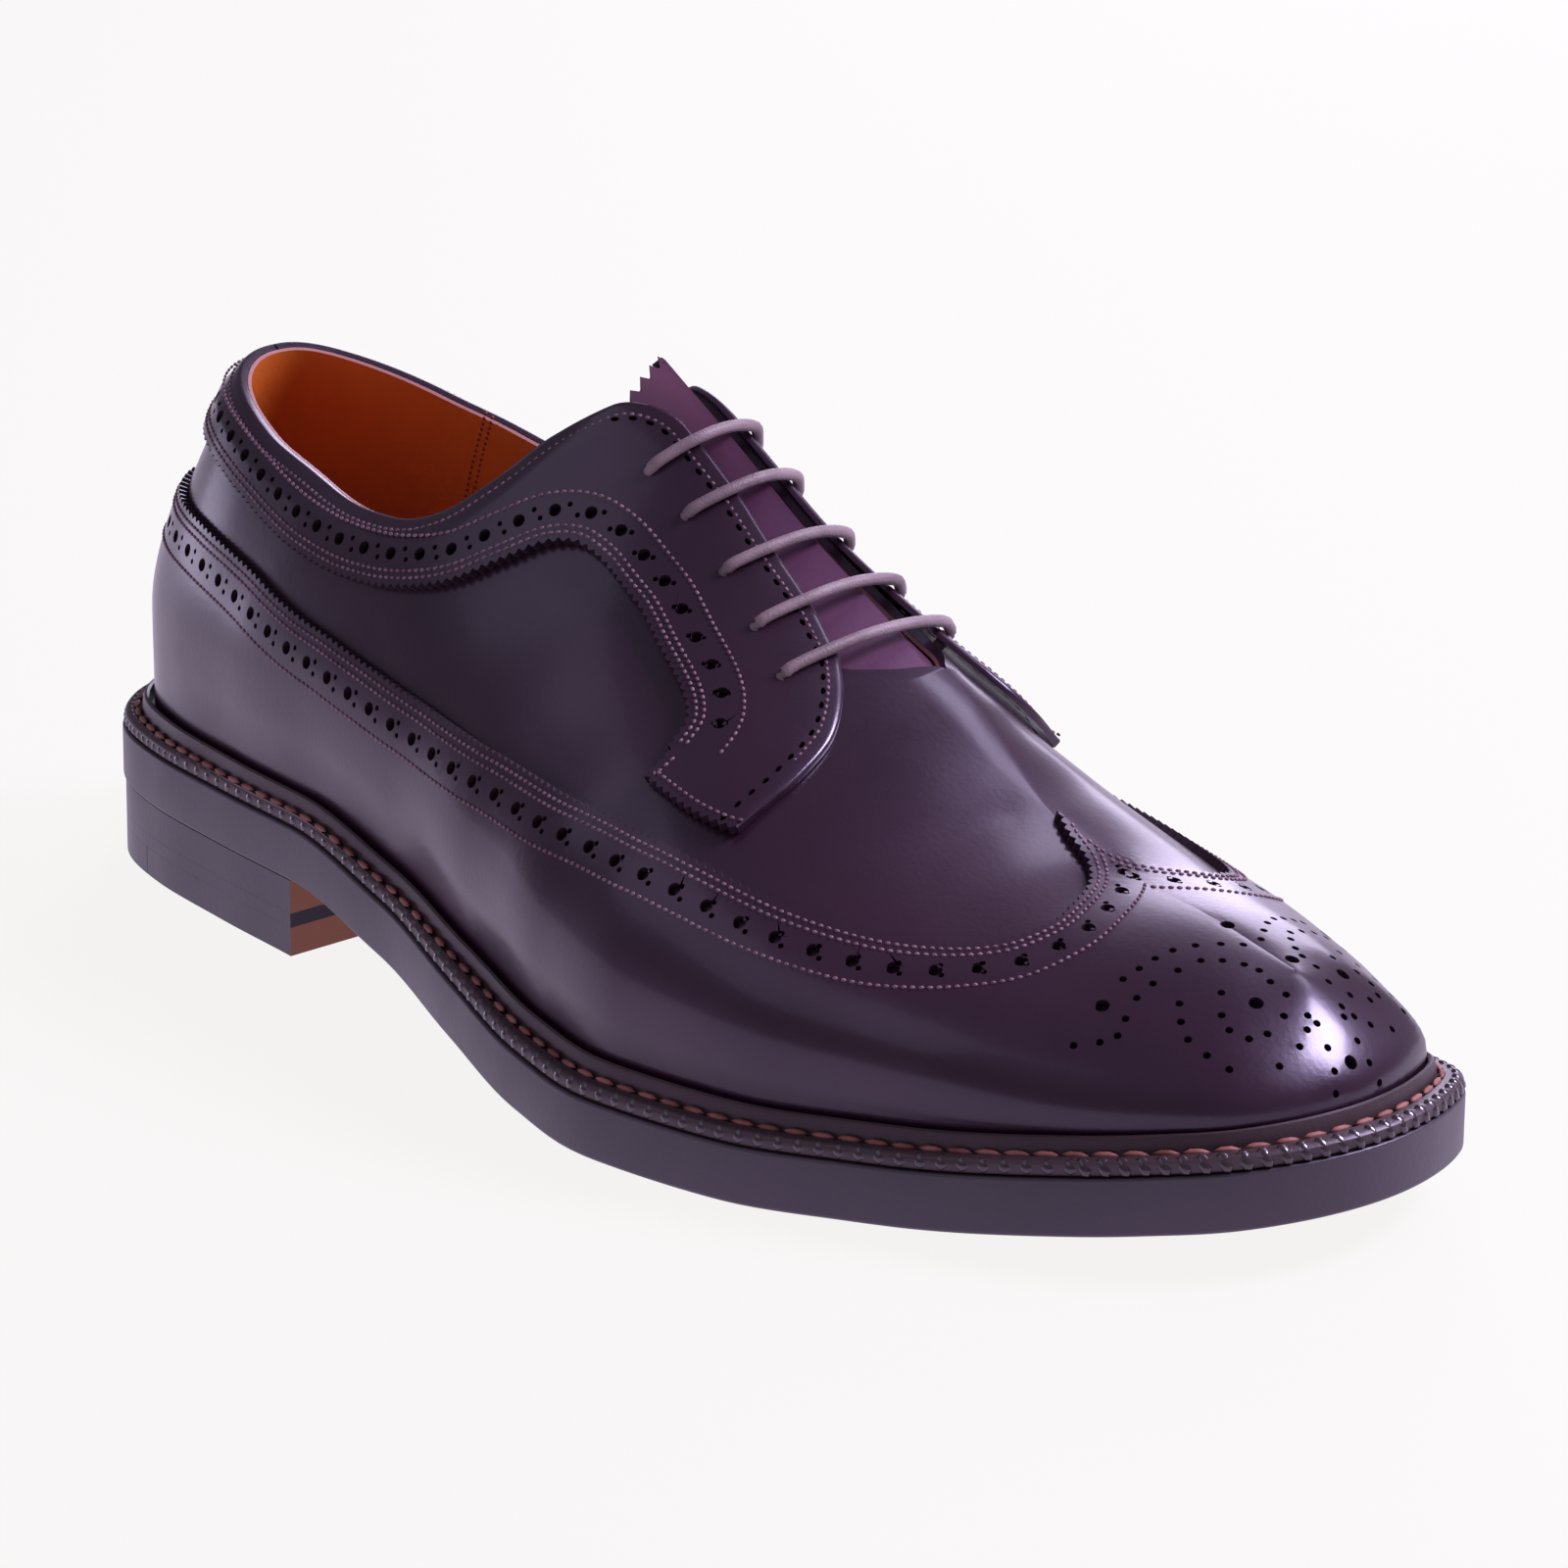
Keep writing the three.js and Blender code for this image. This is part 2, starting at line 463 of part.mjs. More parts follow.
// Tongue: a sheet inside the upper, over the ridge, from under the vamp up past the top edge
const TONGUE_FRONT = 0.625;
const TONGUE_TIP = 0.235;
const TONGUE_SPREAD = 0.17;
const TONGUE_STEPS = 10;
const TONGUE_HALF_STEPS = 3;
function buildTongue() {
  const skin = new Skin();
  const grid = (offset) => {
    const rows = [];
    for (let i = 0; i <= TONGUE_STEPS; i++) {
      const share = TONGUE_FRONT + (TONGUE_TIP - TONGUE_FRONT) * i / TONGUE_STEPS;
      const x = lastPoint(angleOf(share), 1, OUTER)[0];
      const row = [];
      for (let j = -TONGUE_HALF_STEPS; j <= TONGUE_HALF_STEPS; j++) {
        const side = j < 0 ? OUTER : INNER;
        const up = 1 - TONGUE_SPREAD * Math.abs(j) / TONGUE_HALF_STEPS;
        row.push(skinPoint(angleOf(shareAtX(x, up, side)), up, side, offset));
      }
      rows.push(row);
    }
    return rows;
  };
  const outer = grid(-TONGUE_CLEARANCE);
  const inner = grid(-TONGUE_CLEARANCE - TONGUE_THICKNESS);
  skin.sheet(outer, true);
  skin.sheet(inner, false);
  const width = 2 * TONGUE_HALF_STEPS;
  for (let i = 0; i < TONGUE_STEPS; i++) {
    skin.quad(outer[i + 1][0], inner[i + 1][0], inner[i][0], outer[i][0]);
    skin.quad(outer[i][width], inner[i][width], inner[i + 1][width], outer[i + 1][width]);
  }
  for (let j = 0; j < width; j++) {
    skin.quad(outer[0][j], inner[0][j], inner[0][j + 1], outer[0][j + 1]);
    skin.quad(outer[TONGUE_STEPS][j + 1], inner[TONGUE_STEPS][j + 1], inner[TONGUE_STEPS][j], outer[TONGUE_STEPS][j]);
  }
  return skin.mesh('tongue', 0x4a2c3e, 0.35);
}

// Lace bars: round cords that lie on the facings and cross the gap in a low arch
const LACE_STEPS = 8;
const LACE_SIDES = 6;
const EDGE_STEPS = 2;
function buildLace(row, index) {
  const skin = new Skin();
  const x = lastPoint(angleOf(row.along), row.up, OUTER)[0];
  const clear = (side) => OVERLAY_BASE + FACING_THICKNESS + facingLift(row.along, side) + LACE_RADIUS + GAP;
  const onFacing = (up, side) => skinPoint(angleOf(shareAtX(x, up, side)), up, side, clear(side));
  const edges = { [OUTER]: onFacing(row.edge, OUTER), [INNER]: onFacing(row.edge, INNER) };
  const angle = angleOf(row.along);
  const upward = new THREE.Vector3().addVectors(sideNormal(angle, row.up, OUTER), sideNormal(angle, row.up, INNER)).normalize();
  const path = [];
  for (let i = 0; i <= LACE_STEPS; i++) {
    const fromEnd = Math.min(i, LACE_STEPS - i);
    if (fromEnd < EDGE_STEPS) {
      const side = i < fromEnd + 1 ? OUTER : INNER;
      path.push(onFacing(row.up + (row.edge - row.up) * fromEnd / EDGE_STEPS, side));
    } else {
      const u = (i - EDGE_STEPS) / (LACE_STEPS - 2 * EDGE_STEPS);
      const point = new THREE.Vector3().lerpVectors(edges[OUTER], edges[INNER], u);
      path.push(point.addScaledVector(upward, LACE_RISE * 4 * u * (1 - u)));
    }
  }
  const rings = [];
  for (let i = 0; i <= LACE_STEPS; i++) {
    const centre = path[i];
    const tangent = new THREE.Vector3().subVectors(path[Math.min(LACE_STEPS, i + 1)], path[Math.max(0, i - 1)]).normalize();
    const across = new THREE.Vector3().crossVectors(tangent, upward).normalize();
    const lift = new THREE.Vector3().crossVectors(across, tangent).normalize();
    const ring = [];
    for (let k = 0; k <= LACE_SIDES; k++) {
      const turn = 2 * Math.PI * (k % LACE_SIDES) / LACE_SIDES;
      ring.push(centre.clone().addScaledVector(across, LACE_RADIUS * Math.cos(turn)).addScaledVector(lift, LACE_RADIUS * Math.sin(turn)));
    }
    rings.push(ring);
  }
  skin.sheet(rings, false);
  for (let k = 1; k < LACE_SIDES - 1; k++) {
    skin.triangle(rings[0][0], rings[0][k], rings[0][k + 1]);
    skin.triangle(rings[LACE_STEPS][0], rings[LACE_STEPS][k + 1], rings[LACE_STEPS][k]);
  }
  return skin.mesh(`lace_bar_${index + 1}`, 0x8c7680, 0.6);
}

// Flat plates and bands that follow the sole's outline
const SOLE_STEPS = 42;
const soleAngles = Array.from({ length: SOLE_STEPS + 1 }, (v, i) => Math.PI * i / SOLE_STEPS);

function loop(inset, height) {
  const point = (angle, side) => {
    const [x, y] = outlinePoint(angle, side, inset(shareOf(angle)));
    return new THREE.Vector3(x, y, height(x));
  };
  return {
    outer: soleAngles.map((t) => point(t, OUTER)),
    inner: soleAngles.map((t) => point(t, INNER)),
  };
}

function buildPlate(name, color, roughness, inset, low, high) {
  const skin = new Skin();
  for (const [height, flip] of [[low, false], [high, true]]) {
    const edge = loop(inset, height);
    const middle = edge.outer.map((p, i) => {
      const m = p.clone().add(edge.inner[i]).multiplyScalar(0.5);
      m.z = height(m.x);
      return m;
    });
    skin.sheet(edge.outer.map((p, i) => [edge.inner[i], middle[i], p]), flip);
  }
  const bottom = loop(inset, low);
  const top = loop(inset, high);
  skin.sheet(bottom.outer.map((p, i) => [p, top.outer[i]]), false);
  skin.sheet(bottom.inner.map((p, i) => [p, top.inner[i]]), true);
  return skin.mesh(name, color, roughness);
}

function buildWelt() {
  const skin = new Skin();
  const base = (x) => outsoleTop(x) + GAP;
  const layers = OVERLAY_BASE + WING_THICKNESS;
  const rise = (h) => (x) => base(x) + h;
  const from = (d) => (share) => reachAt(share) - layers - GAP - d;
  const corners = [
    { inset: () => WELT_EDGE, height: rise(0) },
    { inset: () => WELT_EDGE, height: rise(WELT_THICKNESS) },
    { inset: from(LIP_WIDTH), height: rise(WELT_THICKNESS) },
    { inset: from(LIP_WIDTH * 0.7), height: rise(WELT_THICKNESS + LIP_HEIGHT) },
    { inset: from(LIP_CLEARANCE * 2), height: rise(WELT_THICKNESS + LIP_HEIGHT) },
    { inset: from(LIP_CLEARANCE), height: rise(WELT_THICKNESS) },
    { inset: (share) => reachAt(share) + INSOLE_CLEARANCE - GAP, height: rise(WELT_THICKNESS) },
    { inset: (share) => reachAt(share) + INSOLE_CLEARANCE - GAP, height: rise(0) },
  ];
  const loops = corners.map((c) => loop(c.inset, c.height));
  for (let k = 0; k < loops.length; k++) {
    const next = loops[(k + 1) % loops.length];
    skin.sheet(loops[k].outer.map((p, i) => [p, next.outer[i]]), false);
    skin.sheet(loops[k].inner.map((p, i) => [p, next.inner[i]]), true);
  }
  return skin.mesh('welt', 0x3b2a31, 0.5);
}

// Heel: plates with the outline's rear, cut straight at the breast
function heelShape(start, end) {
  const angles = [];
  const steps = 14;
  const from = angleOf(start / SOLE_LENGTH);
  const to = angleOf(end / SOLE_LENGTH);
  for (let i = 0; i <= steps; i++) angles.push(from + (to - from) * i / steps);
  const shape = [];
  for (const t of angles) shape.push(outlinePoint(t, OUTER, HEEL_INSET));
  for (const t of [...angles].reverse()) if (t > 0) shape.push(outlinePoint(t, INNER, HEEL_INSET));
  return shape;
}

function buildLift(name, color, roughness, start, end, low, high) {
  const skin = new Skin();
  const outline = heelShape(start, end);
  const shape = new THREE.Shape(outline.map(([x, y]) => new THREE.Vector2(x, y)));
  const solid = new THREE.ExtrudeGeometry(shape, { depth: high - low, bevelEnabled: false, steps: 1 });
  solid.translate(0, 0, low);
  const position = solid.getAttribute('position');
  const corner = (i) => new THREE.Vector3().fromBufferAttribute(position, i);
  for (let i = 0; i < position.count; i += 3) skin.triangle(corner(i), corner(i + 1), corner(i + 2));
  return skin.mesh(name, color, roughness);
}

function assemble() {
  const group = new THREE.Group();
  group.name = 'longwing_brogue';
  const heelTop = HEEL_HEIGHT - GAP;
  const middleLow = TOP_PIECE_THICKNESS + GAP;
  const upperLow = middleLow + MIDDLE_LIFT_THICKNESS + GAP;
  group.add(
    buildPlate('outsole', 0x33292f, 0.45, () => 0, underside, outsoleTop),
    buildWelt(),
    buildPlate('insole', 0xb06a3a, 0.8, (share) => reachAt(share) + INSOLE_CLEARANCE,
      (x) => outsoleTop(x) + GAP,
      (x) => weltTop(x) + INSOLE_RISE),
    buildLift('top_piece_rear', 0x201c1e, 0.8, 0, TOP_PIECE_JOINT - GAP, 0, TOP_PIECE_THICKNESS),
    buildLift('top_piece_front', 0x6b3a22, 0.6, TOP_PIECE_JOINT, HEEL_LENGTH, 0, TOP_PIECE_THICKNESS),
    buildLift('middle_lift', 0x231f21, 0.6, 0, HEEL_LENGTH, middleLow, middleLow + MIDDLE_LIFT_THICKNESS),
    buildLift('upper_lift', 0x6b3a22, 0.6, 0, HEEL_LENGTH, upperLow, heelTop),
    buildUpper(),
    buildWing(),
    buildFacing(OUTER),
    buildFacing(INNER),
    buildTongue(),
    ...EYELETS.map(buildLace),
  );
  return group;
}

export default assemble();
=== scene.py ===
# %% [markdown]
# A longwing brogue, the right shoe of a pair, in oxblood cordovan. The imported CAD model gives
# the frame: every leather piece below is laid over the same last, so the fine pieces sit
# exactly where the solids are. Sizes are in millimetres until a mesh is made.

# %% The frame
import math

import bmesh
import bpy
import numpy as np
from mathutils import Matrix, Vector


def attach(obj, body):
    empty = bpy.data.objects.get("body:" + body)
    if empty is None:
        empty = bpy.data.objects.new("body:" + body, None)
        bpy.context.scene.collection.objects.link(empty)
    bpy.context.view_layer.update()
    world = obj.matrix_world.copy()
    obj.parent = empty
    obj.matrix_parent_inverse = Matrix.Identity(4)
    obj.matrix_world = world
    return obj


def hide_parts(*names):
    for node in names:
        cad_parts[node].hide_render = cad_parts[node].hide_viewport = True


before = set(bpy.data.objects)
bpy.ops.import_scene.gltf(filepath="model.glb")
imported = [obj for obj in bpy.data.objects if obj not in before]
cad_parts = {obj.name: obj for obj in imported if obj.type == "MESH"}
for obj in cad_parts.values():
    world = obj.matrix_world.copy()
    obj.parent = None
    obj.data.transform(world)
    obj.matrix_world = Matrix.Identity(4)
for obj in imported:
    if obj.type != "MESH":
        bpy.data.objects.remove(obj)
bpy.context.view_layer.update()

# %% [markdown]
# The camera comes first, because it settles how fine each piece has to be. The view is the
# one of the photograph: from the toe's outer side, a little above, with a slight roll. It is
# aimed at the middle of the one shoe, so the shoe fills the picture.

# %% Camera
CAMERA_PLACE = Vector((0.9757, -0.7934, 0.4403))
AIM = Vector((0.1336, -0.0050, 0.0490))
CAMERA_ROLL = math.radians(0.5)
FOCAL_LENGTH = 160.6

camera = bpy.data.objects.new("camera", bpy.data.cameras.new("camera"))
bpy.context.scene.collection.objects.link(camera)
look = (AIM - CAMERA_PLACE).to_track_quat("-Z", "Y").to_matrix()
camera.matrix_world = Matrix.LocRotScale(CAMERA_PLACE, look @ Matrix.Rotation(CAMERA_ROLL, 3, "Z"), None)
camera.data.lens = FOCAL_LENGTH
camera.data.clip_end = 20.0
bpy.context.scene.camera = camera
print("camera at", tuple(round(v, 3) for v in CAMERA_PLACE))

# %% [markdown]
# The floor and the light are those of a plain photo table. Polished leather mirrors its whole
# room, so the white of floor and wall is toned down to lavender in what the leather mirrors.
# Five soft lamps do the rest: a bright square one draws the highlight on the toe, a long one
# high in front lights the outer side, and the others touch the vamp, the toe's top and the heel.

# %% Stage
FLOOR_SIZE = 6.0
scene = bpy.context.scene
scene.view_settings.view_transform = "Standard"


def put(tree, kind, inputs=None, **settings):
    """Adds a node. Each input is given as a plain value or as the output that feeds it."""
    node = tree.nodes.new(kind)
    for key, value in settings.items():
        setattr(node, key, value)
    for key, value in (inputs or {}).items():
        if isinstance(value, bpy.types.NodeSocket):
            tree.links.new(value, node.inputs[key])
        else:
            node.inputs[key].default_value = value
    return node


def shader(name, base, roughness):
    """A material with its Principled shader; returns the material, its tree and its shader."""
    material = bpy.data.materials.new(name)
    material.use_nodes = True
    principled = material.node_tree.nodes["Principled BSDF"]
    principled.inputs["Base Color"].default_value = (*base, 1.0)
    principled.inputs["Roughness"].default_value = roughness
    return material, material.node_tree, principled


def mesh_object(name, vertices, faces, material=None):
    mesh = bpy.data.meshes.new(name)
    mesh.from_pydata([tuple(v) for v in vertices], [], [tuple(f) for f in faces])
    mesh.update()
    thing = bpy.data.objects.new(name, mesh)
    scene.collection.objects.link(thing)
    if material:
        mesh.materials.append(material)
    return thing


def seen_or_mirrored(tree, seen, mirrored):
    """A colour that is one thing to the lens and another where polished leather mirrors it."""
    path = put(tree, "ShaderNodeLightPath")
    return put(tree, "ShaderNodeMix", {
        "Factor": path.outputs["Is Camera Ray"], "A": (*mirrored, 1), "B": (*seen, 1),
    }, data_type="RGBA").outputs["Result"]


FLOOR_SEEN, FLOOR_MIRRORED = (1, 0.985, 0.972), (0.90, 0.80, 1.0)
WALL_SEEN, WALL_MIRRORED = (0.93, 0.913, 0.905), (0.19, 0.172, 0.215)
floor_paint, tree, principled = shader("floor_paint", (0.02, 0.02, 0.02), 0.9)
tree.links.new(seen_or_mirrored(tree, FLOOR_SEEN, FLOOR_MIRRORED), principled.inputs["Emission Color"])
principled.inputs["Emission Strength"].default_value = 0.895
half = FLOOR_SIZE / 2
floor = mesh_object("floor", [(-half, -half, 0), (half, -half, 0), (half, half, 0), (-half, half, 0)],
                    [(0, 1, 2, 3)], floor_paint)

world = bpy.data.worlds.new("studio")
scene.world = world
world.use_nodes = True
sky = world.node_tree
sky.links.new(seen_or_mirrored(sky, WALL_SEEN, WALL_MIRRORED), sky.nodes["Background"].inputs["Color"])

LAVENDER = (0.84, 0.78, 1.0)
LAMPS = [
    # name, place, what it is aimed at, width and height in metres, watts
    ("toe_lamp", (0.64, 0.57, 0.78), (0.26, 0, 0.03), (0.40, 0.40), 17.0),
    ("side_lamp", (0.05, 0.82, 1.05), (0.19, 0, 0.05), (0.40, 0.26), 1.8),
    ("back_lamp", (-0.70, 1.15, 0.50), (0.27, 0, 0.045), (0.6, 0.70), 6.5),
    ("front_lamp", (-0.50, -1.25, 1.45), (0.15, 0, 0.05), (1.8, 1.0), 3.6),
    ("heel_lamp", (-0.55, -0.165, 0.05), (0.03, -0.03, 0.06), (0.15, 0.09), 0.14),
]
for name, place, aim, size, power in LAMPS:
    lamp = bpy.data.lights.new(name, "AREA")
    lamp.shape = "RECTANGLE"
    lamp.size, lamp.size_y = size
    lamp.energy, lamp.color = power, LAVENDER
    thing = bpy.data.objects.new(name, lamp)
    thing.location = place
    thing.rotation_euler = (Vector(aim) - Vector(place)).to_track_quat("-Z", "Y").to_euler()
    scene.collection.objects.link(thing)
print("stage and lamps are set")

# %% [markdown]
# A shoe is made on a last, and so is this model. The last is a surface worked out from the
# sole's outline, the ball width, the instep height and the heel height. One number runs from
# heel to toe and one from the feather line, where upper meets welt, to the ridge on top.
# Every panel, seam and hole is placed on it, which keeps them together on the curved shoe.

# %% Sizes of the shoe
SOLE_LENGTH, BALL_WIDTH, HEEL_LENGTH = 310.0, 115.0, 80.0
HEEL_HEIGHT, TOE_SPRING, TOE_SWING = 14.6, 10.1, 3.4
HEEL_RADIUS, TOE_RADIUS = 37.0, 42.0
OUTSOLE_THICKNESS, WELT_THICKNESS = 10.4, 3.2
INSTEP_HEIGHT, NOSE_DEPTH, CONE_LEAN = 77.0, 14.5, 80.0
UPPER_THICKNESS, WING_THICKNESS, FACING_THICKNESS = 2.2, 1.3, 1.7
GAP = 0.3
OUTER, INNER = -1, 1

# %% Outline of the sole: half widths as shares of the ball width
OUTLINE = {
    "at": [0.03, 0.10, 0.18, 0.27, 0.36, 0.45, 0.54, 0.62, 0.70, 0.78, 0.86, 0.93, 0.975],
    OUTER: [0.200, 0.290, 0.327, 0.358, 0.400, 0.469, 0.542, 0.574, 0.549, 0.482, 0.403, 0.304, 0.208],
    INNER: [0.194, 0.300, 0.326, 0.313, 0.284, 0.288, 0.345, 0.412, 0.450, 0.445, 0.398, 0.323, 0.232],
}
UNDERSIDE = {
    "at": [0, 0.262, 0.36, 0.46, 0.54, 0.60, 0.71, 0.80, 0.90, 1],
    "heel": [1, 1, 0.69, 0.31, 0.08, 0, 0, 0, 0, 0],
    "toe": [0, 0, 0, 0, 0, 0, 0, 0.15, 0.51, 1],
}


def curve(xs, ys):
    """A smooth curve without overshoot through the points."""
    xs, ys = np.asarray(xs, float), np.asarray(ys, float)
    h, d = np.diff(xs), np.diff(ys) / np.diff(xs)
    w1, w2 = 2 * h[1:] + h[:-1], h[1:] + 2 * h[:-1]
    safe = d[:-1] * d[1:] > 0
    inner = np.where(safe, (w1 + w2) / (w1 / np.where(safe, d[:-1], 1) + w2 / np.where(safe, d[1:], 1)), 0)
    m = np.concatenate([[d[0]], inner, [d[-1]]])

    def at(x):
        x = np.asarray(x, float)
        i = np.clip(np.searchsorted(xs, x, side="right") - 1, 0, len(xs) - 2)
        u = np.clip((x - xs[i]) / h[i], 0, 1)
        v = 1 - u
        return (ys[i] * (1 + 2 * u) * v * v + h[i] * m[i] * u * v * v
                + ys[i + 1] * u * u * (3 - 2 * u) - h[i] * m[i + 1] * u * u * v)
    return at


def angle_of(share):
    return np.arccos(1 - 2 * np.clip(share, 0, 1))


def share_of(angle):
    return (1 - np.cos(angle)) / 2


def half_width(side):
    angles = angle_of(np.array(OUTLINE["at"]))
    ends = [math.sqrt(r * SOLE_LENGTH / 2) / BALL_WIDTH for r in (HEEL_RADIUS, TOE_RADIUS)]
    ratio = curve([0, *angles, math.pi], [ends[0], *(np.array(OUTLINE[side]) / np.sin(angles)), ends[1]])
    return lambda angle: BALL_WIDTH * ratio(angle) * np.sin(angle)


HALF = {OUTER: half_width(OUTER), INNER: half_width(INNER)}


def outline_point(angle, side, inset):
    """The sole's outline moved inwards by inset, as x and y."""
    step = 1e-3
    low, high = np.maximum(0, angle - step), np.minimum(math.pi, angle + step)
    dx = SOLE_LENGTH * (share_of(high) - share_of(low))
    dw = HALF[side](high) - HALF[side](low)
    length = np.hypot(dx, dw)
    nx, nw = -dw / length, dx / length
    nx = np.where(angle < 2 * step, -1, np.where(angle > math.pi - 2 * step, 1, nx))
    nw = np.where((angle < 2 * step) | (angle > math.pi - 2 * step), 0, nw)
    share = share_of(angle)
    bend = TOE_SWING * np.maximum(0, 2 * share - 1) ** 2
    return SOLE_LENGTH * share - inset * nx, side * (HALF[side](angle) - inset * nw) + bend


heel_rise, toe_rise = curve(UNDERSIDE["at"], UNDERSIDE["heel"]), curve(UNDERSIDE["at"], UNDERSIDE["toe"])


def underside(x):
    share = np.clip(x / SOLE_LENGTH, 0, 1)
    return HEEL_HEIGHT * heel_rise(share) + TOE_SPRING * toe_rise(share)


def outsole_top(x):
    return underside(x) + OUTSOLE_THICKNESS


def welt_top(x):
    return outsole_top(x) + GAP + WELT_THICKNESS


print("outline and underside ready, heel flat to", HEEL_LENGTH, "mm")

# %% Sections of the last, each column a share of its own named size
FEATHER_REACH, SIDE_BULGE, BELLY_HEIGHT, CONE_SWING = 10.3, 2.5, 20.0, 12.5
SECTIONS = {
    "at": [0.00, 0.12, 0.25, 0.33, 0.40, 0.50, 0.60, 0.70, 0.81, 0.90, 1.00],
    "reach": [1.020, 0.874, 0.777, 0.825, 0.874, 0.971, 1, 1, 1, 1.020, 1.120],
    OUTER: [-0.20, 0.45, 1.0, 1.0, 1.0, 0.8, 0.6, 0.48, 0.40, 0.32, 0.24],
    INNER: [-0.20, 0.45, 1.6, 2.6, 3.0, 2.4, 1.2, 0.64, 0.40, 0.32, 0.24],
    "belly": [1, 1, 1.05, 1.05, 1.0, 0.9, 0.75, 0.6, 0.45, 0.26, 0.17],
    "ridge": [1.948, 1.740, 1.468, 1.312, 1.169, 1.000, 0.850, 0.690, 0.580, 0.556, 0.506],
    "swing": [0, 0.24, 0.6, 0.76, 0.88, 1.0, 0.92, 0.68, 0.6, 0.54, 0.48],
    "full": [0.26, 0.26, 0.28, 0.32, 0.36, 0.42, 0.46, 0.50, 0.48, 0.28, 0.18],
    "flat": [0.30, 0.30, 0.34, 0.42, 0.50, 0.56, 0.60, 0.62, 0.62, 0.60, 0.30],
}
section = {name: curve(SECTIONS["at"], values) for name, values in SECTIONS.items()}


def bezier(p, u):
    u = u[..., None]
    v = 1 - u
    return p[0] * v ** 3 + 3 * p[1] * u * v * v + 3 * p[2] * u * u * v + p[3] * u ** 3


def last_point(angle, up, side):
    """A point of the last: angle runs from heel to toe, up from the feather line to the ridge."""
    angle, up = np.broadcast_arrays(np.asarray(angle, float), np.asarray(up, float))
    share = share_of(angle)
    reach = FEATHER_REACH * section["reach"](share)
    belly = BELLY_HEIGHT * section["belly"](share)
    foot_x, foot_y = outline_point(angle, side, reach)
    seat = welt_top(foot_x) + GAP
    foot = np.stack([foot_x, foot_y, seat], -1)
    wide_x, wide_y = outline_point(angle, side, reach - SIDE_BULGE * section[side](share))
    wide = np.stack([wide_x, wide_y, seat + belly], -1)
    ridge_end = SOLE_LENGTH - NOSE_DEPTH - FEATHER_REACH * SECTIONS["reach"][-1]
    ridge = np.stack([CONE_LEAN + (ridge_end - CONE_LEAN) * share, CONE_SWING * section["swing"](share),
                      INSTEP_HEIGHT * section["ridge"](share)], -1)
    rise = ridge[..., 2] - wide[..., 2]
    low = belly / (belly + 0.9 * rise + 0.35 * np.abs(wide[..., 1] - ridge[..., 1]))
    first = foot + (wide - foot) * 0.45
    first[..., 2] += 0.25 * belly
    second = wide.copy()
    second[..., 2] -= 0.45 * belly
    third = wide.copy()
    third[..., 2] += section["full"](share) * rise
    over = ridge + (wide - ridge) * section["flat"](share)[..., None]
    over[..., 2] = ridge[..., 2]
    lower = bezier([foot, first, second, wide], np.clip(up / low, 0, 1))
    upper = bezier([wide, third, over, ridge], np.clip((up - low) / (1 - low), 0, 1))
    return np.where((up < low)[..., None], lower, upper)


def unit(v):
    return v / np.maximum(np.linalg.norm(v, axis=-1, keepdims=True), 1e-9)


def side_normal(angle, up, side):
    step = 2e-3
    t = np.clip(angle, 2 * step, math.pi - 2 * step)
    a = np.clip(up, 2 * step, 1 - 2 * step)
    along = last_point(t + step, a, side) - last_point(t - step, a, side)
    rise = last_point(t, a + step, side) - last_point(t, a - step, side)
    return unit(np.cross(along, rise) * -side)


# %% [markdown]
# Real uppers are never as even as a last. Where the foot bends and where the leather is drawn
# over the toe it keeps soft hollows and swells, a few tenths of a millimetre deep. They are
# placed one by one in a small table, each as a smooth bump on the surface.

# %% Soft hollows and swells of the leather
CREASES = [
    # share of length, share of girth, half length and half height in shares, depth in millimetres, side
    (0.56, 0.40, 0.030, 0.16, -0.35, OUTER),
    (0.64, 0.30, 0.026, 0.12, -0.30, OUTER),
    (0.48, 0.26, 0.030, 0.12, -0.30, OUTER),
    (0.60, 0.86, 0.022, 0.16, -0.35, OUTER),
    (0.66, 0.80, 0.020, 0.20, 0.30, OUTER),
    (0.70, 0.88, 0.016, 0.20, -0.35, OUTER),
    (0.38, 0.20, 0.040, 0.10, -0.25, OUTER),
    (0.30, 0.42, 0.030, 0.06, -0.30, OUTER),
    (0.44, 0.62, 0.030, 0.08, 0.35, OUTER),
    (0.58, 0.42, 0.028, 0.16, -0.35, INNER),
    (0.66, 0.34, 0.026, 0.14, -0.30, INNER),
    (0.50, 0.30, 0.034, 0.12, -0.30, INNER),
    (0.63, 0.84, 0.020, 0.18, -0.30, INNER),
    (0.40, 0.30, 0.040, 0.12, 0.30, INNER),
]


def drape(angle, up, side):
    """How far the leather stands off the last's even surface there."""
    share = share_of(angle)
    total = np.zeros_like(share + up)
    for at, rise, long, high, depth, where in CREASES:
        if where == side:
            total = total + depth * np.exp(-((share - at) / long) ** 2 - ((up - rise) / high) ** 2)
    return total


FOOT_FADE, RIDGE_FADE = 0.12, 0.05


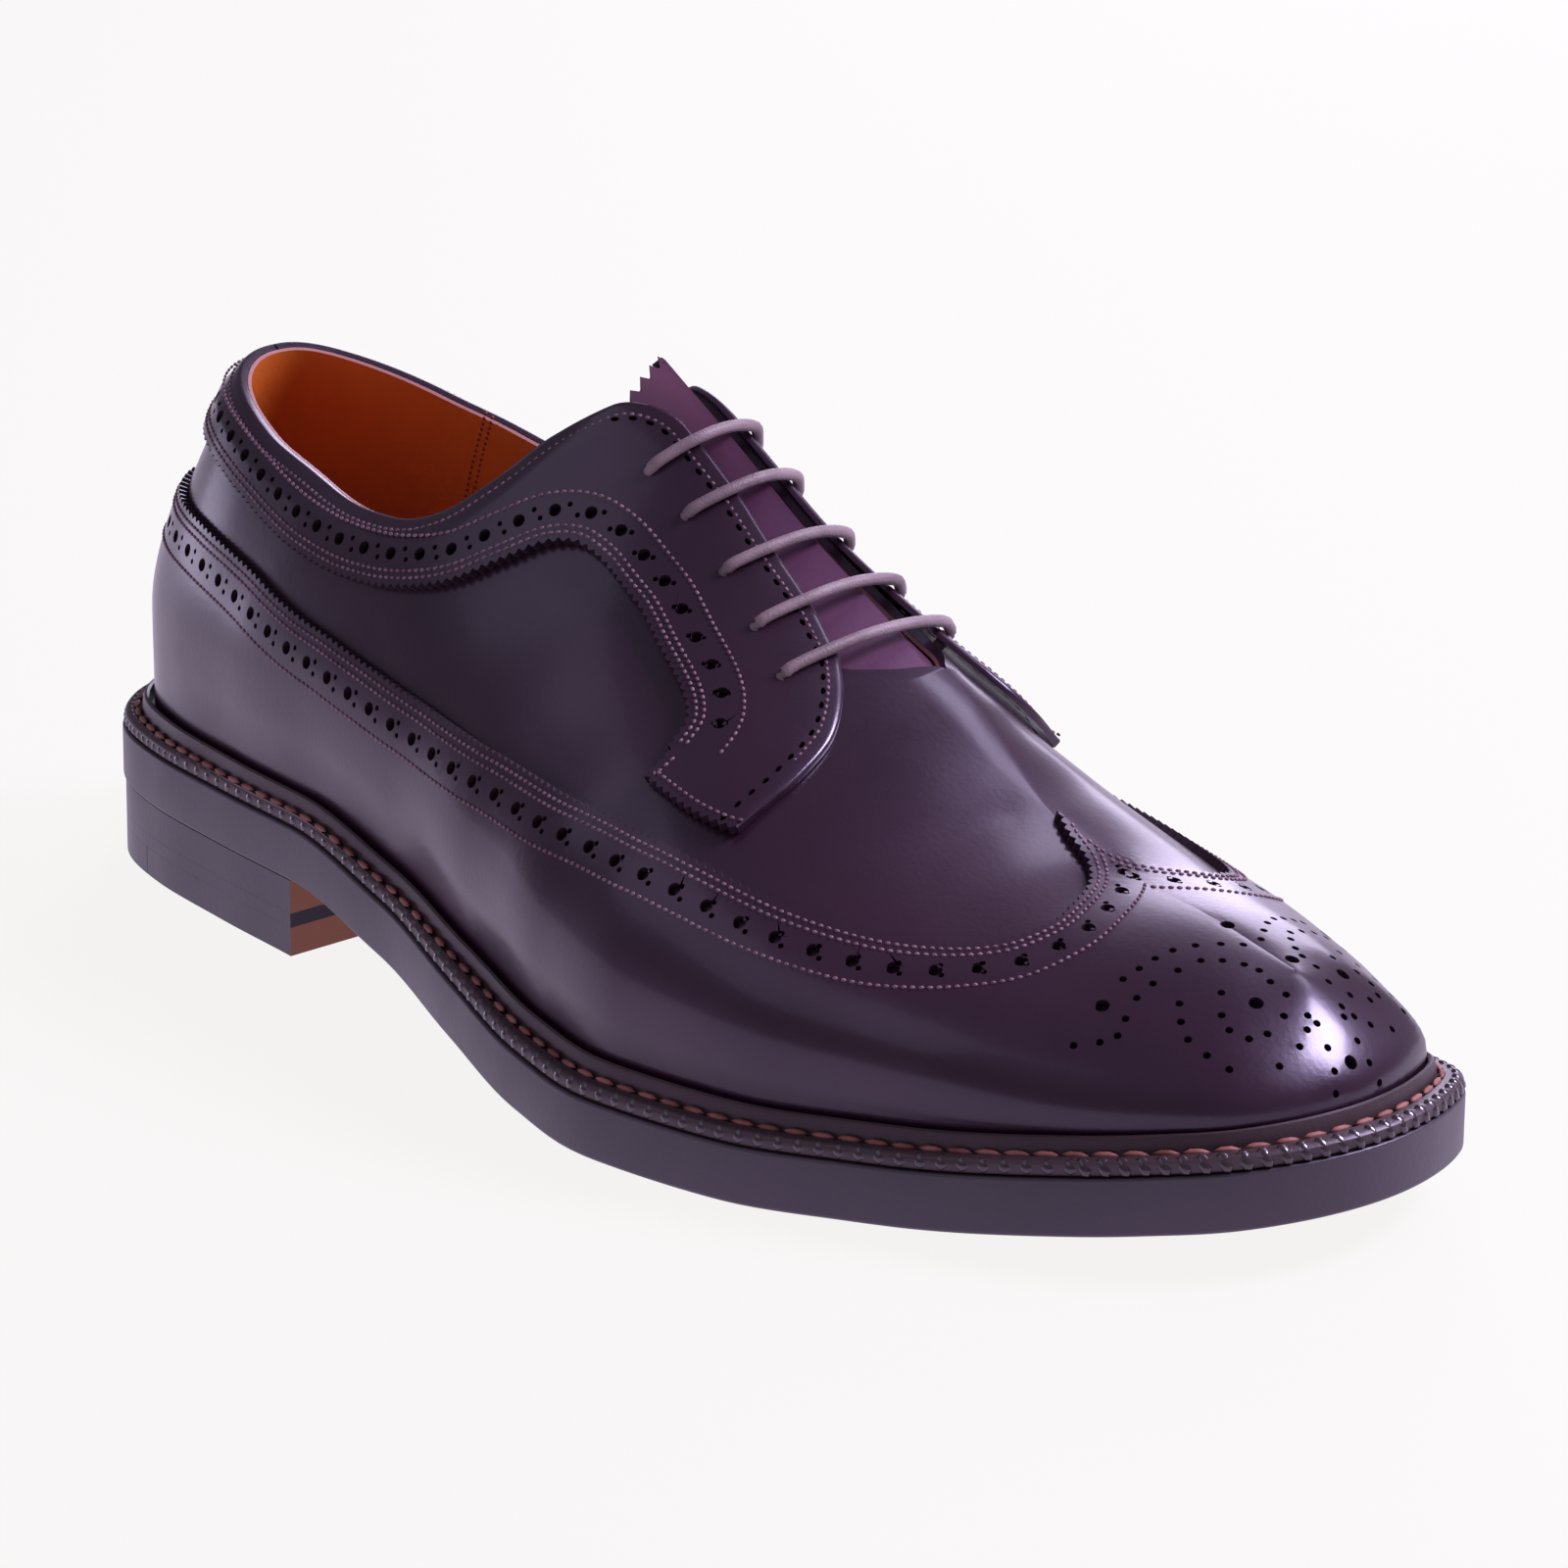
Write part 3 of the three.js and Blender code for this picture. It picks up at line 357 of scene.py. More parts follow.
def skin_point(angle, up, side, offset):
    """A point at offset over the last. Both sides share their normals along the seams."""
    angle, up = np.broadcast_arrays(np.asarray(angle, float), np.asarray(up, float))
    tiny = 1e-6
    normal = side_normal(angle, up, side)
    shared = (angle < tiny) | (angle > math.pi - tiny) | (up > 1 - tiny)
    normal = np.where(shared[..., None], normal + side_normal(angle, up, -side), normal)
    near_foot = np.minimum(1, up / FOOT_FADE)
    normal[..., 2] *= near_foot
    fade = near_foot * np.clip((1 - up) / RIDGE_FADE, 0, 1)
    offset = offset + drape(angle, up, side) * fade
    point = last_point(angle, up, side) + unit(normal) * np.asarray(offset)[..., None]
    point[..., 2] = np.where(up < tiny, welt_top(point[..., 0]) + GAP, point[..., 2])
    return point


def metres(points):
    """Row frame: origin on the floor under the middle of the heel."""
    return (np.asarray(points) - np.array([HEEL_LENGTH / 2, 0, 0])) / 1000


def share_at_x(x, up, side):
    low, high = np.zeros_like(x), np.ones_like(x)
    for _ in range(24):
        middle = (low + high) / 2
        below = last_point(angle_of(middle), up, side)[..., 0] < x
        low, high = np.where(below, middle, low), np.where(below, high, middle)
    return low


print("ridge over the ball stands", round(float(last_point(angle_of(0.62), 1, OUTER)[2]), 1), "mm high")

# %% [markdown]
# The pattern lines are kept as folds: each row of the table crosses one side of the shoe, from
# the feather line over the wing's edge and the facing's lower edge to the top edge. Both sides
# of a brogue are cut from the same pattern, so one table serves both.

# %% Pattern lines
FOLDS = [
    # foot, footUp, wing, wingUp, face, faceUp, top, topUp
    (0.00, 0.00, 0.000, 0.358, 0.000, 0.437, 0.000, 0.512),
    (0.05, 0.00, 0.050, 0.360, 0.050, 0.437, 0.050, 0.507),
    (0.11, 0.00, 0.110, 0.366, 0.110, 0.433, 0.105, 0.505),
    (0.17, 0.00, 0.170, 0.369, 0.171, 0.429, 0.160, 0.515),
    (0.23, 0.00, 0.230, 0.366, 0.226, 0.440, 0.205, 0.527),
    (0.29, 0.00, 0.285, 0.372, 0.270, 0.464, 0.235, 0.545),
    (0.34, 0.00, 0.330, 0.386, 0.304, 0.507, 0.261, 0.575),
    (0.38, 0.00, 0.370, 0.403, 0.327, 0.561, 0.276, 0.630),
    (0.42, 0.00, 0.405, 0.420, 0.341, 0.628, 0.279, 0.700),
    (0.45, 0.00, 0.430, 0.433, 0.352, 0.690, 0.275, 0.790),
    (0.48, 0.00, 0.455, 0.447, 0.368, 0.722, 0.275, 0.865),
    (0.51, 0.00, 0.480, 0.459, 0.395, 0.732, 0.285, 0.912),
    (0.54, 0.00, 0.505, 0.472, 0.428, 0.732, 0.310, 0.937),
    (0.57, 0.00, 0.530, 0.488, 0.471, 0.716, 0.365, 0.938),
    (0.60, 0.00, 0.555, 0.503, 0.512, 0.700, 0.425, 0.926),
    (0.63, 0.00, 0.580, 0.515, 0.532, 0.678, 0.483, 0.913),
    (0.66, 0.00, 0.610, 0.530, 0.546, 0.629, 0.534, 0.897),
    (0.69, 0.00, 0.640, 0.542, 0.575, 0.640, 0.553, 0.950),
    (0.72, 0.00, 0.670, 0.553, 0.605, 0.680, 0.560, 1.000),
    (0.799, 0.00, 0.700, 0.567, 0.640, 0.730, 0.590, 1.000),
    (0.868, 0.00, 0.750, 0.600, 0.672, 0.780, 0.612, 1.000),
    (0.924, 0.00, 0.785, 0.650, 0.697, 0.820, 0.630, 1.000),
    (0.966, 0.00, 0.810, 0.720, 0.715, 0.860, 0.646, 1.000),
    (0.991, 0.00, 0.817, 0.800, 0.725, 0.900, 0.658, 1.000),
    (1.00, 0.00, 0.812, 0.860, 0.730, 0.930, 0.668, 1.000),
    (1.00, 0.40, 0.806, 0.900, 0.731, 0.950, 0.676, 1.000),
    (1.00, 0.75, 0.798, 0.930, 0.731, 0.965, 0.684, 1.000),
    (1.00, 1.00, 0.785, 0.955, 0.730, 0.978, 0.691, 1.000),
    (0.93, 1.00, 0.770, 0.972, 0.727, 0.986, 0.697, 1.000),
    (0.86, 1.00, 0.755, 0.980, 0.724, 0.990, 0.703, 1.000),
    (0.79, 1.00, 0.738, 0.986, 0.720, 0.994, 0.709, 1.000),
    (0.715, 1.00, 0.715, 1.000, 0.715, 1.000, 0.715, 1.000),
]
FACING_FRONT = [
    # face, faceUp, top, topUp
    (0.546, 0.629, 0.534, 0.897),
    (0.549, 0.578, 0.565, 0.868),
    (0.590, 0.586, 0.600, 0.810),
    (0.615, 0.600, 0.620, 0.710),
    (0.626, 0.611, 0.626, 0.620),
]
EYELETS = [
    # length, girth, and where the lace leaves the facing's edge
    (0.339, 0.852, 0.938), (0.382, 0.857, 0.936), (0.436, 0.850, 0.924),
    (0.489, 0.832, 0.912), (0.537, 0.816, 0.895),
]
FACING_END = 16
LAST_FOLD = len(FOLDS) - 1


def fold_curves(table):
    """For each pattern line a function that gives length angle and girth share at a fold number."""
    rows = np.array(table)
    numbers = np.arange(len(rows))
    lines = []
    for k in range(0, rows.shape[1], 2):
        lines.append((curve(numbers, angle_of(rows[:, k])), curve(numbers, rows[:, k + 1])))
    return lines


def spot(line, u):
    return np.stack([np.minimum(math.pi, line[0](u)), np.minimum(1, line[1](u))], -1)


foot_line, wing_line, face_line, top_line = fold_curves(FOLDS)
front_face_line, front_top_line = fold_curves(FACING_FRONT)
FACING_LIFT = {OUTER: 0.35, INNER: 1.6}
LIFT_START, LIFT_FULL = 0.42, 0.58


def facing_lift(share, side):
    """How far the facing stands off the vamp towards its free front."""
    return FACING_LIFT[side] * np.clip((share - LIFT_START) / (LIFT_FULL - LIFT_START), 0, 1)


print(len(FOLDS), "folds on each side")

# %% [markdown]
# Leather is a sheet with a real thickness. One helper makes every panel: it takes the outer
# and the inner face as grids of points, merges what meets, and closes the cut edges.

# %% A wall from two faces
class Wall:
    """Collects grids of outer and inner points, then closes their free borders."""

    def __init__(self):
        self.outer, self.inner, self.quads, self.known = [], [], [], {}

    def index(self, o, i):
        key = tuple(np.round(o * 500).astype(int))
        if key not in self.known:
            self.known[key] = len(self.outer)
            self.outer.append(o)
            self.inner.append(i)
        return self.known[key]

    def grid(self, outer, inner, flip):
        rows = [[self.index(o, i) for o, i in zip(*pair)] for pair in zip(outer, inner)]
        for a, b in zip(rows, rows[1:]):
            for k in range(len(a) - 1):
                quad = [a[k], b[k], b[k + 1], a[k + 1]]
                ring = [v for n, v in enumerate(quad) if v != quad[n - 1]]
                if len(set(ring)) >= 3:
                    self.quads.append(ring[::-1] if flip else ring)

    def build(self, name, material, edge_material=None, sheets=1):
        """The faces beyond one sheet, or beyond both, take the material of the cut edge."""
        n = len(self.outer)
        counts = {}
        for q in self.quads:
            for a, b in zip(q, q[1:] + q[:1]):
                counts[(a, b)] = counts.get((a, b), 0) + 1
        faces = list(self.quads) + [[v + n for v in reversed(q)] for q in self.quads]
        walls = [[b, a, a + n, b + n] for a, b in counts if (b, a) not in counts]
        thing = mesh_object(name, metres(np.array(self.outer + self.inner)), faces + walls, material)
        if edge_material:
            thing.data.materials.append(edge_material)
            for polygon in list(thing.data.polygons)[len(self.quads) * sheets:]:
                polygon.material_index = 1
        return thing


def smooth(thing, degrees=35):
    mesh = thing.data
    for polygon in mesh.polygons:
        polygon.use_smooth = True
    mesh.set_sharp_from_angle(angle=math.radians(degrees))
    return thing


def between(low, high, shares):
    """Columns of (angle, up) from the low line to the high line."""
    return low[:, None] + (high - low)[:, None] * np.asarray(shares)[..., None]


def lay(wall, columns, side, low_offset, high_offset):
    t, a = columns[..., 0], columns[..., 1]
    wall.grid(skin_point(t, a, side, high_offset), skin_point(t, a, side, low_offset), side == INNER)


# fold numbers at which the big panels are cut into columns, closer together round heel and toe
STEPS_PER_FOLD = 7
fold_steps = np.unique(np.concatenate([
    np.linspace(0, 1, 3 * STEPS_PER_FOLD), np.linspace(1, 19, 18 * STEPS_PER_FOLD),
    np.linspace(19, LAST_FOLD, 12 * (STEPS_PER_FOLD + 3))]))
print("panels have", len(fold_steps), "columns on a side")

# %% [markdown]
# Cordovan is a dense, polished leather with hardly any grain. It is nearly black where it
# faces away and wine to plum where light strikes it, with a waxy gloss over the top. The
# colour drifts in soft clouds, and a fine bump keeps the gloss from looking like plastic.

# %% Cordovan
def cloud(tree, scale, detail, low=0, high=1):
    """Noise on Object coordinates, squeezed to a range by a Map Range node."""
    place = put(tree, "ShaderNodeTexCoord")
    noise = put(tree, "ShaderNodeTexNoise", {
        "Scale": scale, "Detail": detail, "Vector": place.outputs["Object"]})
    return put(tree, "ShaderNodeMapRange", {
        "Value": noise.outputs["Fac"], "From Min": 0.3, "From Max": 0.7, "To Min": low, "To Max": high,
    }).outputs["Result"]


def two_tone(tree, principled, drift, dark, light):
    mix = put(tree, "ShaderNodeMix", {"Factor": drift, "A": (*dark, 1), "B": (*light, 1)}, data_type="RGBA")
    tree.links.new(mix.outputs["Result"], principled.inputs["Base Color"])


def bump(tree, principled, height, strength, distance):
    node = put(tree, "ShaderNodeBump", {"Strength": strength, "Distance": distance, "Height": height})
    tree.links.new(node.outputs["Normal"], principled.inputs["Normal"])


COAT_TINT, GLOSS_TINT = (0.93, 0.88, 1.0, 1), (0.82, 0.72, 1.0, 1)


def leather(name, dark, light, roughness, coat, coat_roughness, grain=0.25):
    material, tree, principled = shader(name, dark, roughness)
    two_tone(tree, principled, cloud(tree, 16, 3), dark, light)
    tree.links.new(cloud(tree, 45, 4, roughness - 0.05, roughness + 0.07), principled.inputs["Roughness"])
    bump(tree, principled, cloud(tree, 900, 6), grain, 0.00006)
    principled.inputs["Coat Weight"].default_value = coat
    principled.inputs["Coat Roughness"].default_value = coat_roughness
    principled.inputs["Coat Tint"].default_value = COAT_TINT
    principled.inputs["Specular Tint"].default_value = GLOSS_TINT
    return material


# name, dark and light tone, roughness, coat, the coat's roughness, grain
cordovan = leather("cordovan", (0.019, 0.007, 0.015), (0.035, 0.012, 0.026), 0.30, 0.35, 0.16)
cut_edge = leather("cut_edge", (0.020, 0.009, 0.014), (0.035, 0.014, 0.022), 0.6, 0.0, 0.3, 0.5)
# the tongue's tones are raised so that its tip reads as lit: painted light. The lining keeps its own orange;
# both get painted shade lower down, which is set further below
tongue_leather = leather("tongue_leather", (0.17, 0.06, 0.11), (0.28, 0.11, 0.19), 0.36, 0.3, 0.2)
lining_leather = leather("lining_leather", (0.86, 0.19, 0.028), (0.95, 0.29, 0.05), 0.5, 0.1, 0.35, 0.4)
insole_leather = leather("insole_leather", (0.20, 0.05, 0.02), (0.28, 0.08, 0.03), 0.6, 0.05, 0.4, 0.4)
lining_rim = leather("lining_rim", (0.34, 0.15, 0.14), (0.50, 0.27, 0.26), 0.6, 0.05, 0.4, 0.4)


def paint_shade_below(material, low, high, shade):
    """Paints shade: multiplies a leather's colour by a dark tint that is full below the lower height and
    fades out by the higher one.
    """
    tree = material.node_tree
    principled = tree.nodes["Principled BSDF"]
    colour = principled.inputs["Base Color"].links[0].from_socket
    place = put(tree, "ShaderNodeTexCoord")
    split = put(tree, "ShaderNodeSeparateXYZ", {"Vector": place.outputs["Object"]})
    fade = put(tree, "ShaderNodeMapRange", {
        "Value": split.outputs["Z"], "From Min": low, "From Max": high, "To Min": 1, "To Max": 0})
    mix = put(tree, "ShaderNodeMix", {"Factor": fade.outputs["Result"], "A": colour, "B": (*shade, 1)},
              data_type="RGBA", blend_type="MULTIPLY")
    tree.links.new(mix.outputs["Result"], principled.inputs["Base Color"])


# painted shade: the lining darkens towards the sole where shade falls inside the shoe, and the tongue
# darkens below its tip
paint_shade_below(lining_leather, 0.040, 0.092, (0.22, 0.20, 0.5))
paint_shade_below(tongue_leather, 0.096, 0.112, (0.42, 0.36, 0.48))
print("leathers mixed")

# %% [markdown]
# The upper is the body of the shoe: quarters and vamp in one hollow form. The outside is the
# cordovan that shows between wing and facings, and the inside is a separate orange lining.
# Both are laid on the same last with their own offsets, as a shoemaker would pull them over.

# %% Upper and lining
LINING_THICKNESS = 0.75
WING_ROWS = np.concatenate([np.linspace(0, 0.2, 5), np.linspace(0.2, 1, 15)[1:]])
PLAIN_ROWS = np.linspace(0, 1, 7)
COLLAR_END, LACING_END, EASE = 9, 17.5, 1.5  # fold numbers
feet, wings = spot(foot_line, fold_steps), spot(wing_line, fold_steps)
faces = spot(face_line, fold_steps)


def whole_columns(drop, lacing_drop):
    """Columns from the feather line to a top edge that lies lower by a drop at collar and lacing."""
    tops = spot(top_line, fold_steps)
    drops = drop + (lacing_drop - drop) * np.clip((fold_steps - COLLAR_END) / EASE, 0, 1)
    tops[:, 1] -= drops * np.clip((LACING_END - fold_steps) / EASE, 0, 1)
    return np.concatenate([
        between(feet, wings, WING_ROWS), between(wings, faces, PLAIN_ROWS)[:, 1:],
        between(faces, tops, PLAIN_ROWS)[:, 1:]], axis=1)


def two_sided(name, columns, low_offset, high_offset, material, edge=None):
    wall = Wall()
    for side in (OUTER, INNER):
        lay(wall, columns, side, low_offset, high_offset)
    return smooth(wall.build(name, material, edge, 2))


upper = two_sided("upper_body", whole_columns(0.015, 0.015), LINING_THICKNESS, UPPER_THICKNESS, cordovan)
lining = two_sided("lining", whole_columns(0.0, 0.024), 0.0, LINING_THICKNESS - 0.02,
                   lining_leather, lining_rim)
for piece in (upper, lining):
    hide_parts("upper")
    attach(piece, "root")
print("upper", len(upper.data.polygons), "faces, lining", len(lining.data.polygons))

# %% [markdown]
# Rows of holes, stitches and pinked teeth all follow the edge of a panel at a fixed distance.
# A helper walks in from the edge along the curved surface, a millimetre at a time, so a row
# stays parallel to its edge even where the leather bends over the toe.

# %% Rows that follow an edge
def walk(points, side, distance, inward):
    """Moves (angle, up) points sideways from their line by distance on the surface."""
    points = np.array(points, float)
    steps = max(1, int(math.ceil(abs(distance))))
    d = 1e-4
    for _ in range(steps):
        t, a = points[:, 0], points[:, 1]
        place = last_point(t, a, side)
        tangent = unit(np.gradient(place, axis=0))
        normal = side_normal(t, a, side)
        sideways = np.cross(normal, tangent) * inward * side
        tc, ac = np.clip(t, d, math.pi - d), np.clip(a, d, 1 - d)
        along = (last_point(tc + d, ac, side) - last_point(tc - d, ac, side)) / (2 * d)
        rise = (last_point(tc, ac + d, side) - last_point(tc, ac - d, side)) / (2 * d)
        g11, g12, g22 = (along * along).sum(-1), (along * rise).sum(-1), (rise * rise).sum(-1)
        r1, r2 = (along * sideways).sum(-1), (rise * sideways).sum(-1)
        det = np.maximum(g11 * g22 - g12 * g12, 1e-6)
        step = distance / steps
        points[:, 0] += step * (g22 * r1 - g12 * r2) / det
        points[:, 1] += step * (g11 * r2 - g12 * r1) / det
    return points


def even(points, side, spacing=0.8):
    """The same line with points at an even spacing on the shoe, in millimetres."""
    place = last_point(points[:, 0], points[:, 1], side)
    run = np.concatenate([[0], np.cumsum(np.linalg.norm(np.diff(place, axis=0), axis=1))])
    keep = np.concatenate([[True], np.diff(run) > 1e-6])
    run, points = run[keep], points[keep]
    want = np.linspace(0, run[-1], max(4, int(run[-1] / spacing)))
    return np.stack([np.interp(want, run, points[:, k]) for k in (0, 1)], -1)


def row(points, side, distance, inward=1):
    """A row parallel to an edge, cut off where it would cross the heel seam, toe seam or ridge."""
    line = even(points, side)
    if distance:
        line = walk(line, side, distance, inward)
    good = (line[:, 0] > -0.004) & (line[:, 0] < math.pi + 0.001) & (line[:, 1] < 1.001) & (line[:, 1] > 0)
    line = line[good]
    line[:, 0] = np.clip(line[:, 0], 0, math.pi)
    line[:, 1] = np.clip(line[:, 1], 0, 1)
    # a fold-back of the offset line makes hooks, which are dropped
    place = last_point(line[:, 0], line[:, 1], side)
    ahead = np.linalg.norm(np.diff(place, axis=0), axis=1)
    return even(line[np.concatenate([[True], ahead > 0.05])], side)


wing_edge = spot(wing_line, np.linspace(0, LAST_FOLD, 700))
print("wing edge has", len(wing_edge), "points")

# %% [markdown]
# Geometry Nodes do the repeating work. One tree takes a line that carries the direction of
# the surface under it, spaces points along it and sets a shape on each point, turned to the
# line and to the surface. The shape, its size and the spacing are inputs with names.

# %% One tree for everything that repeats along a line
def marked_object(name, points, edges, **marks):
    """Points on the shoe that carry what a tree needs to know, such as the surface normal."""
    mesh = bpy.data.meshes.new(name)
    mesh.from_pydata([tuple(p) for p in metres(points)], edges, [])
    for label, values in marks.items():
        values = np.asarray(values, np.float32)
        kind, field = ("FLOAT_VECTOR", "vector") if values.ndim == 2 else ("FLOAT", "value")
        mesh.attributes.new(label, kind, "POINT").data.foreach_set(field, values.ravel())
    thing = bpy.data.objects.new(name, mesh)
    scene.collection.objects.link(thing)
    return thing


def new_tree(name, **sizes):
    """An empty tree with a geometry, some sizes in metres and a material as its inputs."""
    tree = bpy.data.node_groups.new(name, "GeometryNodeTree")
    socket = tree.interface.new_socket
    socket("Geometry", in_out="INPUT", socket_type="NodeSocketGeometry")
    for label, value in sizes.items():
        socket(label, in_out="INPUT", socket_type="NodeSocketFloat").default_value = value
    socket("Material", in_out="INPUT", socket_type="NodeSocketMaterial")
    socket("Geometry", in_out="OUTPUT", socket_type="NodeSocketGeometry")
    return tree, put(tree, "NodeGroupInput").outputs


def finish_tree(tree, given, place, rounded):
    """Realizes the instances, shades and paints them, and hands them out."""
    real = put(tree, "GeometryNodeRealizeInstances", {"Geometry": place.outputs["Instances"]})
    soft = put(tree, "GeometryNodeSetShadeSmooth", {
        "Geometry": real.outputs["Geometry"], "Shade Smooth": rounded})
    paint = put(tree, "GeometryNodeSetMaterial", {
        "Geometry": soft.outputs["Geometry"], "Material": given["Material"]})
    put(tree, "NodeGroupOutput", {"Geometry": paint.outputs["Geometry"]})
    return tree


def upright(tree):
    """The rotation that stands a shape on the leather."""
    normal = put(tree, "GeometryNodeInputNamedAttribute", {"Name": "surface_normal"},
                 data_type="FLOAT_VECTOR").outputs["Attribute"]
    return put(tree, "FunctionNodeAlignRotationToVector", {"Vector": normal}, axis="Z").outputs["Rotation"]


def repeat_tree(name, shape):
    """Sets a stitch, hole, tooth or bead on a line at an even spacing, from Start on."""
    tree, given = new_tree(name, Spacing=0.002, Length=0.001, Width=0.0004, Height=0.0003,
                           Turn=0.0, Start=0.0)
    line = put(tree, "GeometryNodeMeshToCurve", {"Mesh": given["Geometry"]})
    trim = put(tree, "GeometryNodeTrimCurve", {
        "Curve": line.outputs["Curve"], 4: given["Start"], 5: 10.0}, mode="LENGTH")
    space = put(tree, "GeometryNodeResampleCurve", {
        "Curve": trim.outputs["Curve"], "Length": given["Spacing"]}, mode="LENGTH")
    tangent = put(tree, "GeometryNodeInputTangent")
    along = put(tree, "FunctionNodeAlignRotationToVector", {
        "Rotation": upright(tree), "Vector": tangent.outputs["Tangent"],
    }, axis="X", pivot_axis="Z")
    turn = put(tree, "FunctionNodeAxisAngleToRotation", {"Axis": (0, 0, 1), "Angle": given["Turn"]})
    spin = put(tree, "FunctionNodeRotateRotation", {
        "Rotation": along.outputs["Rotation"], "Rotate By": turn.outputs["Rotation"],
    }, rotation_space="LOCAL")
    rounded = shape in ("stitch", "bead")
    if rounded:
        segments, rings = (6, 4) if shape == "stitch" else (8, 6)
        body = put(tree, "GeometryNodeMeshUVSphere", {"Segments": segments, "Rings": rings, "Radius": 0.5})
    else:
        corners = 12 if shape == "hole" else 4
        body = put(tree, "GeometryNodeMeshCylinder", {"Vertices": corners, "Radius": 0.5, "Depth": 1.0})
    size = put(tree, "ShaderNodeCombineXYZ", {
        "X": given["Length"], "Y": given["Width"], "Z": given["Height"]})
    form = put(tree, "GeometryNodeTransform", {
        "Geometry": body.outputs["Mesh"], "Scale": size.outputs["Vector"]})
    place = put(tree, "GeometryNodeInstanceOnPoints", {
        "Points": space.outputs["Curve"], "Instance": form.outputs["Geometry"],
        "Rotation": spin.outputs["Rotation"]})
    return finish_tree(tree, given, place, rounded)


TREES = {shape: repeat_tree(f"{shape}_row", shape) for shape in ("stitch", "hole", "tooth", "bead")}


def run_tree(thing, tree, **inputs):
    """Lets a tree work on an object and returns the plain mesh that comes out."""
    modifier = thing.modifiers.new(tree.name, "NODES")
    modifier.node_group = tree
    sockets = {s.name: s.identifier for s in tree.interface.items_tree
               if s.item_type == "SOCKET" and s.in_out == "INPUT"}
    for label, value in inputs.items():
        modifier[sockets[label]] = value
    depsgraph = bpy.context.evaluated_depsgraph_get()
    mesh = bpy.data.meshes.new_from_object(thing.evaluated_get(depsgraph))
    thing.modifiers.clear()
    return mesh


def repeated(name, shape, lines, material, **sizes):
    """Runs the tree on every line and joins the results into one plain mesh object."""
    sizes = {label: value if label == "Turn" else value / 1000 for label, value in sizes.items()}
    joined = bmesh.new()
    for points, normals in lines:
        if len(points) < 3:
            continue
        chain = [(i, i + 1) for i in range(len(points) - 1)]
        carrier = marked_object(name + "_line", points, chain, surface_normal=normals)
        mesh = run_tree(carrier, TREES[shape], Material=material, **sizes)
        joined.from_mesh(mesh)
        bpy.data.meshes.remove(mesh)
        bpy.data.objects.remove(carrier)
    result = bpy.data.meshes.new(name)
    joined.to_mesh(result)
    joined.free()
    result.materials.clear()
    result.materials.append(material)
    thing = bpy.data.objects.new(name, result)
    scene.collection.objects.link(thing)
    return thing


def on_shoe(line, side, offset):
    """Points and surface normals for a line of (angle, up) at an offset over the last."""
    return skin_point(line[:, 0], line[:, 1], side, offset), side_normal(line[:, 0], line[:, 1], side)


def both_sides(edge, distance, offset, inward=1):
    """The same row on the outer and the inner side."""
    return [on_shoe(row(edge, side, distance, inward), side, offset) for side in (OUTER, INNER)]


print("trees for", ", ".join(TREES))

# %% [markdown]
# Punched holes and pinked edges are cut from the leather for real. The cutters are rows of
# short pins and four-sided teeth made by the same tree, and a Boolean takes them all out of
# the panel at once, which is how a gang punch works too.

# %% Cutting with a gang punch
def punch(panel, cutters):
    """Takes the cutters out of the panel and leaves a plain mesh."""
    joined = bmesh.new()
    for cutter in cutters:
        joined.from_mesh(cutter.data)
        bpy.data.objects.remove(cutter)
    for face in joined.faces:
        face.material_index = 1
    if len(panel.data.materials) == 1:
        panel.data.materials.append(cut_edge)
    tool_mesh = bpy.data.meshes.new("punch")
    joined.to_mesh(tool_mesh)
    joined.free()
    tool = bpy.data.objects.new("punch", tool_mesh)
    scene.collection.objects.link(tool)
    modifier = panel.modifiers.new("punch", "BOOLEAN")
    modifier.operation = "DIFFERENCE"
    modifier.solver = "MANIFOLD"
    modifier.object = tool
    before = len(panel.data.polygons)
    depsgraph = bpy.context.evaluated_depsgraph_get()
    cut = bpy.data.meshes.new_from_object(panel.evaluated_get(depsgraph))
    panel.modifiers.clear()
    old = panel.data
    panel.data = cut
    bpy.data.meshes.remove(old)
    bpy.data.objects.remove(tool)
    print(panel.name, "had", before, "faces, now", len(panel.data.polygons))
    return smooth(panel)


CUT_DEPTH = 3.2
BIG_HOLE, SMALL_HOLE = 2.5, 1.05
HOLE_PITCH, HOLE_START = 7.0, 2.0
PINK_PITCH, PINK_CUT = 1.9, 1.55
HOLE_ROW, PAIR_SPREAD = 6.2, 1.0


def hole_rows(edge_rows):
    """Large holes in a row, with a pair of small ones between each two."""
    between_holes = HOLE_START + HOLE_PITCH / 2
    cutters = []
    for spread, diameter, start in ((0, BIG_HOLE, HOLE_START), (-PAIR_SPREAD, SMALL_HOLE, between_holes),
                                    (PAIR_SPREAD, SMALL_HOLE, between_holes)):
        cutters.append(repeated("holes", "hole", edge_rows(HOLE_ROW + spread), cut_edge,
                                Spacing=HOLE_PITCH, Length=diameter, Width=diameter,
                                Height=CUT_DEPTH, Start=start))
    return cutters


def teeth_along(rows, depth):
    """The pinked edge."""
    return repeated("teeth", "tooth", rows, cut_edge, Spacing=PINK_PITCH, Length=PINK_CUT, Width=PINK_CUT,
                    Height=depth)


print("large holes every", HOLE_PITCH, "mm")

# %% [markdown]
# The wing is the long pointed overlay that runs from the toe's spur right round to the back
# seam. Below its pinked edge come two seams, the row of holes and one more seam.

